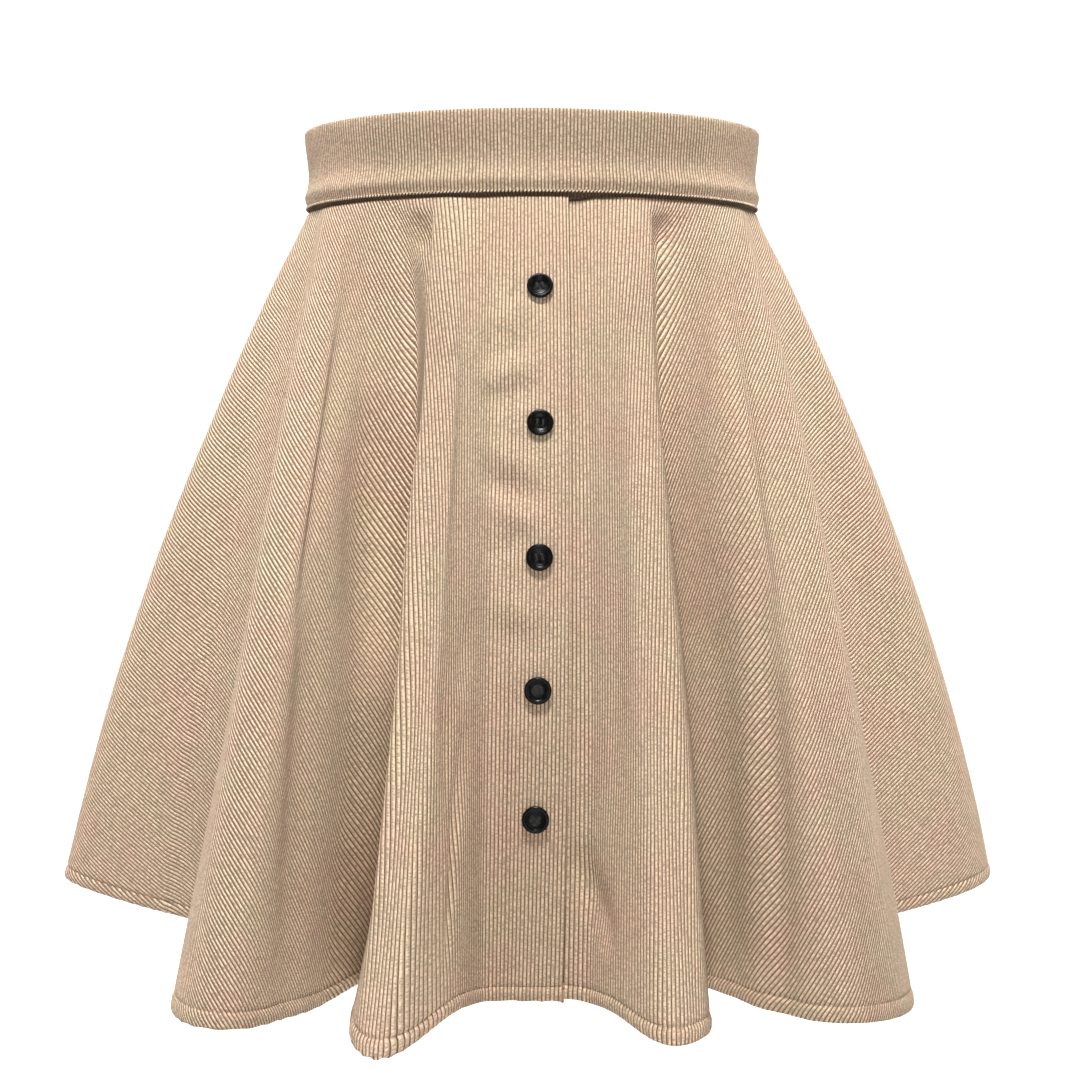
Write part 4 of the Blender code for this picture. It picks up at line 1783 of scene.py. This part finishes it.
@dataclass
class Waistband:
    """The folded strip round the waist, in two plies."""

    waist: WaistOval
    split: float = 1.2 * MM
    columns: int = 420
    section: tuple[BandPoint, ...] = (
        BandPoint(21.4, 1.5),
        BandPoint(21.3, 0.8),
        BandPoint(20.7, 0.3),
        BandPoint(19.2, 0.2),
        BandPoint(16.0, 0.35),
        BandPoint(12.5, 0.7),
        BandPoint(8.5, 1.2),
        BandPoint(4.5, 1.7),
        BandPoint(0.5, 2.1),
        BandPoint(-3.5, 2.25),
        BandPoint(-7.0, 1.95),
        BandPoint(-9.5, 1.4),
        BandPoint(-11.8, 0.75),
        BandPoint(-13.2, 0.35),
        BandPoint(-15.0, 0.45),
        BandPoint(-16.6, 0.8),
        BandPoint(-17.8, 1.1),
        BandPoint(-18.7, 1.15),
        BandPoint(-19.4, 1.1),
        BandPoint(-19.8, 1.5),
        BandPoint(-20.0, 2.2),
        BandPoint(-20.4, 2.9),
        BandPoint(-21.2, 3.2),
        BandPoint(-22.2, 3.3),
        BandPoint(-22.8, 3.6),
        BandPoint(-23.0, 4.3),
        BandPoint(-22.8, 5.0),
        BandPoint(-22.0, 5.3),
        BandPoint(-18.0, 5.2),
        BandPoint(-12.0, 4.9),
        BandPoint(-6.0, 4.8),
        BandPoint(0.0, 4.7),
        BandPoint(6.0, 4.1),
        BandPoint(12.0, 3.4),
        BandPoint(17.5, 2.9),
        BandPoint(20.6, 2.7),
        BandPoint(21.3, 2.2),
    )
    outer: int = 24
    # Painted shade: below this height the outer ply takes the dark ditch colour.
    painted_shade_below: float = -19.0
    rubbed_above: float = 20.5
    middle_inset: float = 1.6
    squeezed_above: float = 19.5
    squeezed_over: float = 1.7
    pinch: float = 0.55
    pinch_reach: float = 0.5 * MM
    plain_start: float = 2.6 * MM

    def build(self, wardrobe: Wardrobe) -> bpy.types.Object:
        """Builds the band.

        Args:
            wardrobe: The finishes.

        Returns:
            The piece.
        """
        start = self.waist.zip_distance + self.split / 2.0
        length = self.waist.length - self.split
        ends = np.array([0.0, 0.12, 0.35, 0.8, 1.5]) * MM
        inner = np.linspace(self.plain_start, length - self.plain_start, self.columns)
        distances = np.concatenate((ends, inner, length - ends[::-1]))
        rows = [*self.section, self.section[0]]
        shape, where = grid_shape(len(rows), len(distances))
        flat = shape.loops.layers.uv.new("flat cut")
        rubbed = shape.verts.layers.float.new("rubbed")
        sunk = shape.verts.layers.float.new("sunk")
        heights = np.array([p.height for p in rows])
        insets = np.array([p.inset for p in rows])
        travelled = np.concatenate(([0.0], np.cumsum(np.hypot(np.diff(heights), np.diff(insets))))) * MM
        table: list[tuple[float, float]] = []
        for vert, (r, c) in zip(shape.verts, where):
            away = min(distances[c], length - distances[c])
            kept = 1.0 - self.pinch * math.exp(-((away / self.pinch_reach) ** 2))
            reached = start + distances[c]
            height, inset = self.formed(heights[r], insets[r], float(reached), r <= self.outer)
            inner_share = float(eased((heights[r] - self.squeezed_above) / self.squeezed_over))
            squeezed = 1.0 if r <= self.outer else inner_share
            inset += side_squeeze(float(reached) / self.waist.length) / MM * squeezed
            inset = self.middle_inset + (inset - self.middle_inset) * kept
            x, y = self.waist.at(reached, inset * MM)
            vert.co = (x, y, height * MM)
            vert[rubbed] = 0.7 if heights[r] > self.rubbed_above else 0.0
            # Painted shade: the outer ply's lowest strip, where it rolls under into the seam, gets the dark
            # ditch colour.
            vert[sunk] = 1.0 if heights[r] < self.painted_shade_below and r <= self.outer else 0.0
            table.append((float(reached), float(travelled[r])))
        for face in shape.faces:
            face.smooth = True
            cells = [where[v.index][0] for v in face.verts]
            face.material_index = 0 if min(cells) < self.outer else 1
            for loop in face.loops:
                loop[flat].uv = table[loop.vert.index]
        bmesh.ops.remove_doubles(shape, verts=shape.verts, dist=0.005 * MM)
        ends_open = [e for e in shape.edges if e.is_boundary]
        bmesh.ops.holes_fill(shape, edges=ends_open, sides=0)
        bmesh.ops.recalc_face_normals(shape, faces=shape.faces)
        mesh = finished_mesh("waistband_cloth", shape)
        mesh.set_sharp_from_angle(angle=math.radians(70.0))
        piece = link_piece("waistband_cloth", mesh, [wardrobe.face, wardrobe.facing])
        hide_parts("waistband")
        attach(piece, SKIRT_BODY)
        log.info("waistband_cloth: %d columns", len(distances))
        return piece

    def formed(self, height: float, inset: float, reached: float, is_outer: bool) -> tuple[float, float]:
        """Adds the band's soft unevenness to a point of its section.

        Args:
            height: The point's height, in mm.
            inset: Its inset, in mm.
            reached: Its distance round the waist, in metres.
            is_outer: If it is on the outer ply.

        Returns:
            The new height and inset, in mm.
        """
        broad = noise.noise(Vector((reached * 16.0, height * 0.035, 5.0)))
        close = noise.noise(Vector((reached * 60.0, height * 0.09, 1.0)))
        swell = math.exp(-(((height + 12.0) / 5.0) ** 2)) * (0.25 + 0.35 * broad)
        lift = 0.42 * broad * math.cos(height / 46.0 * math.pi) + 0.14 * close
        if is_outer:
            inset -= lift + swell
        else:
            inset -= lift
        edge = abs(height) / 23.0
        return height + 0.35 * broad * edge**4, inset


@dataclass(frozen=True)
class RimPoint:
    """A point of a button's turned outline, in mm."""

    radius: float
    height: float


@dataclass
class Buttons:
    """Five black four-hole buttons, sewn on down the placket."""

    drape: Drape
    drops_mm: tuple[float, ...] = (48.0, 118.0, 184.0, 248.0, 310.0)
    reach: float = 6.5 * MM
    seat: float = 0.4 * MM
    leans: tuple[float, ...] = (7.0, -4.0, 11.0, 2.0, -9.0)
    hole_radius: float = 0.72
    hole_offset: float = 1.4
    outline: tuple[RimPoint, ...] = (
        RimPoint(0.0, 1.5),
        RimPoint(2.9, 1.45),
        RimPoint(3.25, 1.52),
        RimPoint(3.45, 1.66),
        RimPoint(4.0, 1.72),
        RimPoint(4.4, 1.86),
        RimPoint(4.75, 2.2),
        RimPoint(5.05, 2.34),
        RimPoint(5.5, 2.4),
        RimPoint(5.95, 2.3),
        RimPoint(6.3, 2.02),
        RimPoint(6.46, 1.65),
        RimPoint(6.5, 1.25),
        RimPoint(6.4, 0.8),
        RimPoint(6.0, 0.35),
        RimPoint(5.4, 0.1),
        RimPoint(0.0, 0.0),
    )

    def turned(self) -> bpy.types.Mesh:
        """Turns one button and drills its holes.

        Returns:
            Its mesh, lying on its back at the origin.
        """
        shape = bmesh.new()
        verts = [shape.verts.new((p.radius * MM, 0.0, p.height * MM)) for p in self.outline]
        edges = [shape.edges.new(pair) for pair in zip(verts, verts[1:])]
        bmesh.ops.spin(
            shape,
            geom=[*verts, *edges],
            cent=(0.0, 0.0, 0.0),
            axis=(0.0, 0.0, 1.0),
            angle=2.0 * math.pi,
            steps=56,
            use_merge=True,
        )
        bmesh.ops.remove_doubles(shape, verts=shape.verts, dist=0.002 * MM)
        bmesh.ops.recalc_face_normals(shape, faces=shape.faces)
        blank = bpy.data.objects.new("button_blank", finished_mesh("button", shape))
        bpy.context.scene.collection.objects.link(blank)
        drill_shape = bmesh.new()
        for x in (-self.hole_offset, self.hole_offset):
            for y in (-self.hole_offset, self.hole_offset):
                bmesh.ops.create_cone(
                    drill_shape,
                    cap_ends=True,
                    segments=20,
                    radius1=self.hole_radius * MM,
                    radius2=self.hole_radius * MM,
                    depth=8.0 * MM,
                    matrix=Matrix.Translation((x * MM, y * MM, 0.0)),
                )
        drill = bpy.data.objects.new("drill", finished_mesh("drill", drill_shape))
        bpy.context.scene.collection.objects.link(drill)
        cut = blank.modifiers.new("Holes", "BOOLEAN")
        cut.object = drill
        cut.operation = "DIFFERENCE"
        bpy.context.view_layer.update()
        graph = bpy.context.evaluated_depsgraph_get()
        made = bpy.data.meshes.new_from_object(blank.evaluated_get(graph), depsgraph=graph)
        for spent in (blank, drill):
            bpy.data.objects.remove(spent)
        made.shade_smooth()
        made.set_sharp_from_angle(angle=math.radians(38.0))
        return made

    def place(self, drop: float) -> Matrix:
        """Finds where a button sits.

        Args:
            drop: Its distance down the placket, in metres.

        Returns:
            A matrix whose Z points out of the cloth and Y up it.
        """
        above = np.linspace(0.0, drop - self.reach, 12)
        drops = np.append(above, (drop, drop + self.reach))
        nudges = np.array([-self.reach, 0.0, self.reach])
        patch = self.drape.surface(drops, np.zeros(3), nudges)[0][-3:]
        out = Vector(outward_normals(patch)[1, 1])
        here = Vector(patch[1, 1])
        highest = max((Vector(point) - here).dot(out) for point in patch.reshape(-1, 3))
        up = Vector(patch[0, 1] - patch[2, 1])
        up = (up - out * up.dot(out)).normalized()
        turn = Matrix((up.cross(out), up, out)).transposed().to_4x4()
        return Matrix.Translation(here + out * (highest + self.seat)) @ turn

    def build(self, wardrobe: Wardrobe) -> list[bpy.types.Object]:
        """Builds the buttons and the thread that holds each one.

        Args:
            wardrobe: The finishes.

        Returns:
            The pieces.
        """
        blank = self.turned()
        made: list[bpy.types.Object] = []
        for number, (drop, degrees) in enumerate(zip(self.drops_mm, self.leans), start=1):
            spot = self.place(drop * MM)
            lean = Matrix.Rotation(math.radians(degrees), 4, "Z")
            mesh = blank.copy()
            mesh.transform(spot @ lean)
            piece = link_piece(f"resin_button_{number}", mesh, [wardrobe.resin])
            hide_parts(f"button_{number}")
            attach(piece, SKIRT_BODY)
            made.append(piece)
            made.append(self.sewn(number, spot @ lean, wardrobe))
        log.info("buttons: %d pieces", len(made))
        return made

    def sewn(self, number: int, spot: Matrix, wardrobe: Wardrobe) -> bpy.types.Object:
        """Sews a button on with two bars of thread and a short shank.

        Args:
            number: The button's number.
            spot: Where it sits.
            wardrobe: The finishes.

        Returns:
            The thread.
        """
        shape = bmesh.new()
        offset = self.hole_offset * MM
        for side in (-offset, offset):
            for strand in (-0.2 * MM, 0.2 * MM):
                bar = Matrix.Translation((side + strand, 0.0, 1.62 * MM))
                size = Matrix.Diagonal((0.24 * MM, 1.75 * MM, 0.3 * MM, 1.0))
                bmesh.ops.create_uvsphere(shape, u_segments=12, v_segments=8, radius=1.0, matrix=bar @ size)
            for end in (-offset, offset):
                bmesh.ops.create_cone(
                    shape,
                    cap_ends=True,
                    segments=10,
                    radius1=0.42 * MM,
                    radius2=0.42 * MM,
                    depth=2.3 * MM,
                    matrix=Matrix.Translation((side, end, 0.35 * MM)),
                )
        bmesh.ops.transform(shape, matrix=spot, verts=shape.verts)
        mesh = finished_mesh(f"button_thread_{number}", shape)
        mesh.shade_smooth()
        piece = link_piece(f"button_thread_{number}", mesh, [wardrobe.button_thread])
        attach(piece, SKIRT_BODY)
        return piece


@dataclass
class Stitching:
    """The machine stitching that shows: round the hem and down the placket."""

    hem: StitchRow = StitchRow()
    placket: StitchRow = StitchRow(2.3 * MM, 1.0 * MM, 0.34 * MM)
    rope: StitchRow = StitchRow(1.75 * MM, 0.11 * MM, 0.95 * MM, 42.0)

    def build(self, panels: list[Panel], front: RightFront, wardrobe: Wardrobe) -> list[bpy.types.Object]:
        """Sews the hems of the panels, the placket and the band's rolled edge.

        Args:
            panels: The panels with a hem.
            front: The panel with the placket.
            wardrobe: The finishes.

        Returns:
            The threads.
        """
        made = []
        for panel in panels:
            shape = bmesh.new()
            path, normals = panel.hem_path()
            count = self.hem.sew(shape, path, normals, 0.02 * MM)
            made.append(self.finish(f"hem_stitches_{panel.node}", shape, wardrobe.thread))
            log.info("%s: %d stitches", panel.node, count)
        shape = bmesh.new()
        path, normals = front.placket_path()
        self.placket.sew(shape, path, normals, 0.03 * MM)
        made.append(self.finish("placket_stitches", shape, wardrobe.thread))
        shape = bmesh.new()
        path, normals = self.rolled_edge(front.drape.waist)
        self.rope.sew(shape, path, normals, 0.0)
        made.append(self.finish("waistband_rolled_edge", shape, wardrobe.rope))
        return made

    @staticmethod
    def rolled_edge(waist: WaistOval) -> tuple[Grid, Grid]:
        """Finds the line of the waistband's rolled lower edge.

        Args:
            waist: The waist.

        Returns:
            Its points and normals.
        """
        reached = waist.zip_distance + np.linspace(2.0 * MM, waist.length - 2.0 * MM, 900)
        inset = 0.6 * MM + side_squeeze(reached / waist.length)
        plan, within = waist.at(reached, inset), waist.at(reached, inset + MM)
        down = np.full((len(reached), 1), -19.5 * MM)
        out = (plan - within) / MM
        return np.hstack((plan, down)), np.hstack((out, np.full((len(reached), 1), -0.35)))

    @staticmethod
    def finish(name: str, shape: bmesh.types.BMesh, material: bpy.types.Material) -> bpy.types.Object:
        """Makes stitches a piece.

        Args:
            name: The piece's name.
            shape: The stitches.
            material: Their material.

        Returns:
            The piece.
        """
        mesh = finished_mesh(name, shape)
        mesh.shade_smooth()
        piece = link_piece(name, mesh, [material])
        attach(piece, SKIRT_BODY)
        return piece


@dataclass
class SideZip:
    """The concealed zip in the wearer's left seam."""

    drape: Drape
    run: float = 138.0 * MM
    pitch: float = 1.25 * MM
    depth: float = 3.0 * MM

    def build(self, wardrobe: Wardrobe) -> bpy.types.Object:
        """Dresses the zip's solids and adds its coil.

        Args:
            wardrobe: The finishes.

        Returns:
            The coil.
        """
        frame_nodes = {"zip_tape": wardrobe.tape, "zip_slider": wardrobe.enamel, "zip_pull": wardrobe.enamel}
        for node, material in frame_nodes.items():
            mesh = bpy.data.objects[node].data
            mesh.materials.clear()
            mesh.materials.append(material)
        drops = np.arange(0.0, self.run, self.pitch)
        place = float(self.drape.lines[line_number(LEFT_SEAM)])
        nudges = np.array([-2.0 * MM, 0.0, 2.0 * MM])
        points = self.drape.surface(drops, np.full(3, place), nudges)[0]
        normals = outward_normals(points)
        shape = bmesh.new()
        for row in range(1, len(drops)):
            out = Vector(normals[row, 1])
            down = (Vector(points[row, 1]) - Vector(points[row - 1, 1])).normalized()
            across = down.cross(out).normalized()
            turn = Matrix((across, down, out)).transposed().to_4x4()
            side = 0.55 * MM if row % 2 else -0.55 * MM
            spot = Matrix.Translation(Vector(points[row, 1]) - out * self.depth + across * side)
            size = Matrix.Diagonal((1.35 * MM, 0.42 * MM, 0.5 * MM, 1.0))
            bmesh.ops.create_icosphere(shape, subdivisions=1, radius=1.0, matrix=spot @ turn @ size)
        mesh = finished_mesh("zip_coil", shape)
        mesh.shade_smooth()
        piece = link_piece("zip_coil", mesh, [wardrobe.coil])
        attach(piece, SKIRT_BODY)
        log.info("zip_coil: %d teeth", len(drops) - 1)
        return piece


# --------------------------------------------------------------------------
# Studio
# --------------------------------------------------------------------------


@dataclass
class Studio:
    """A pale studio: one curved sweep, soft light and the camera."""

    focal: float = 1598.0
    image: int = 1080
    camera_at: tuple[float, float, float] = (0.0044, -0.90, -0.1225)
    pitch: float = 5.09
    floor: float = -1.3

    def sweep(self) -> bpy.types.Object:
        """Makes the floor and the backdrop in one curve.

        Returns:
            The sweep.
        """
        shape = bmesh.new()
        reach, back, bend, rise, half_width = 3.0, 1.2, 1.0, 4.0, 4.0
        profile = [(-reach, 0.0), (back, 0.0)]
        for turn in np.linspace(0.1, math.pi / 2.0, 14):
            profile.append((back + bend * math.sin(turn), bend - bend * math.cos(turn)))
        profile.append((back + bend, rise))
        verts = [shape.verts.new((-half_width, y, self.floor + z)) for y, z in profile]
        edges = [shape.edges.new(pair) for pair in zip(verts, verts[1:])]
        grown = bmesh.ops.extrude_edge_only(shape, edges=edges)
        moved = [g for g in grown["geom"] if isinstance(g, bmesh.types.BMVert)]
        bmesh.ops.translate(shape, verts=moved, vec=(2.0 * half_width, 0.0, 0.0))
        bmesh.ops.recalc_face_normals(shape, faces=shape.faces)
        mesh = finished_mesh("studio_sweep", shape)
        mesh.shade_smooth()
        made, wire, shader = new_finish("pale paper", 0.95, Specular_IOR_Level=0.1)
        place = wire.add("ShaderNodeTexCoord").outputs["Object"]
        tone = wire.mix(wire.noise(place, 3.0, 2.0), (0.86, 0.86, 0.86, 1.0), (0.9, 0.9, 0.89, 1.0))
        wire.tree.links.new(tone, shader.inputs["Base Color"])
        piece = link_piece("studio_sweep", mesh, [made])
        return piece

    def light(
        self,
        name: str,
        at: tuple[float, float, float],
        aim: tuple[float, float, float],
        size: tuple[float, float],
        power: float,
    ) -> None:
        """Adds a soft box.

        Args:
            name: The light's name.
            at: Where it hangs.
            aim: What it faces.
            size: Its width and height.
            power: Its power, in watts.
        """
        lamp = bpy.data.lights.new(name, "AREA")
        lamp.shape = "RECTANGLE"
        lamp.size, lamp.size_y = size
        lamp.energy = power
        holder = bpy.data.objects.new(name, lamp)
        holder.location = at
        holder.rotation_euler = (Vector(aim) - Vector(at)).to_track_quat("-Z", "Y").to_euler()
        bpy.context.scene.collection.objects.link(holder)

    def build(self) -> None:
        """Sets up the sweep, the lights, the world and the camera."""
        self.sweep()
        self.light("key_box", (-0.06, -0.8, 1.8), (0.0, 0.0, -0.2), (0.34, 0.26), 62.0)
        self.light("front_box", (0.15, -2.1, -0.3), (0.0, 0.0, -0.25), (0.9, 0.9), 11.0)
        self.light("right_box", (1.8, -0.8, 0.1), (0.0, 0.0, -0.2), (0.7, 1.0), 5.5)
        self.light("left_box", (-1.8, -0.8, 0.1), (0.0, 0.0, -0.2), (0.7, 1.0), 3.5)
        self.light("sweep_box_right", (1.5, 0.8, 1.0), (0.0, 2.4, -0.3), (0.8, 0.8), 42.0)
        self.light("sweep_box_left", (-1.5, 0.8, 1.0), (0.0, 2.4, -0.3), (0.8, 0.8), 42.0)
        world = bpy.data.worlds.new("studio air")
        world.use_nodes = True
        world.node_tree.nodes["Background"].inputs[0].default_value = (1.0, 1.0, 1.0, 1.0)
        world.node_tree.nodes["Background"].inputs[1].default_value = 0.2
        bpy.context.scene.world = world
        bpy.context.scene.view_settings.view_transform = "Standard"
        lens = bpy.data.cameras.new("studio_camera")
        lens.sensor_width = 36.0
        lens.lens = self.focal / self.image * lens.sensor_width
        lens.clip_start = 0.02
        camera = bpy.data.objects.new("studio_camera", lens)
        camera.location = self.camera_at
        camera.rotation_euler = (math.radians(90.0 - self.pitch), 0.0, 0.0)
        bpy.context.scene.collection.objects.link(camera)
        bpy.context.scene.camera = camera


def main() -> None:
    """Builds the skirt and its studio."""
    logging.basicConfig(level=logging.INFO, format="%(name)s: %(message)s")
    waist = WaistOval()
    drape = Drape(waist)
    wardrobe = Wardrobe()
    right = RightFront("front_right_cloth", "front_right", drape, 2.9 * MM).lay_out()
    left = LeftFront("front_left_cloth", "front_left", drape, 2.9 * MM).lay_out()
    back = Back("back_cloth", "back", drape, 4.3 * MM, BACK_GRAIN, drape.waist.length / 2.0).lay_out()
    panels: list[Panel] = [right, left, back]
    for panel in panels:
        panel.build(wardrobe)
    Waistband(waist).build(wardrobe)
    Buttons(drape).build(wardrobe)
    Stitching().build(panels, right, wardrobe)
    SideZip(drape).build(wardrobe)
    Studio().build()
    bpy.context.view_layer.update()


if __name__ == "__main__":
    main()
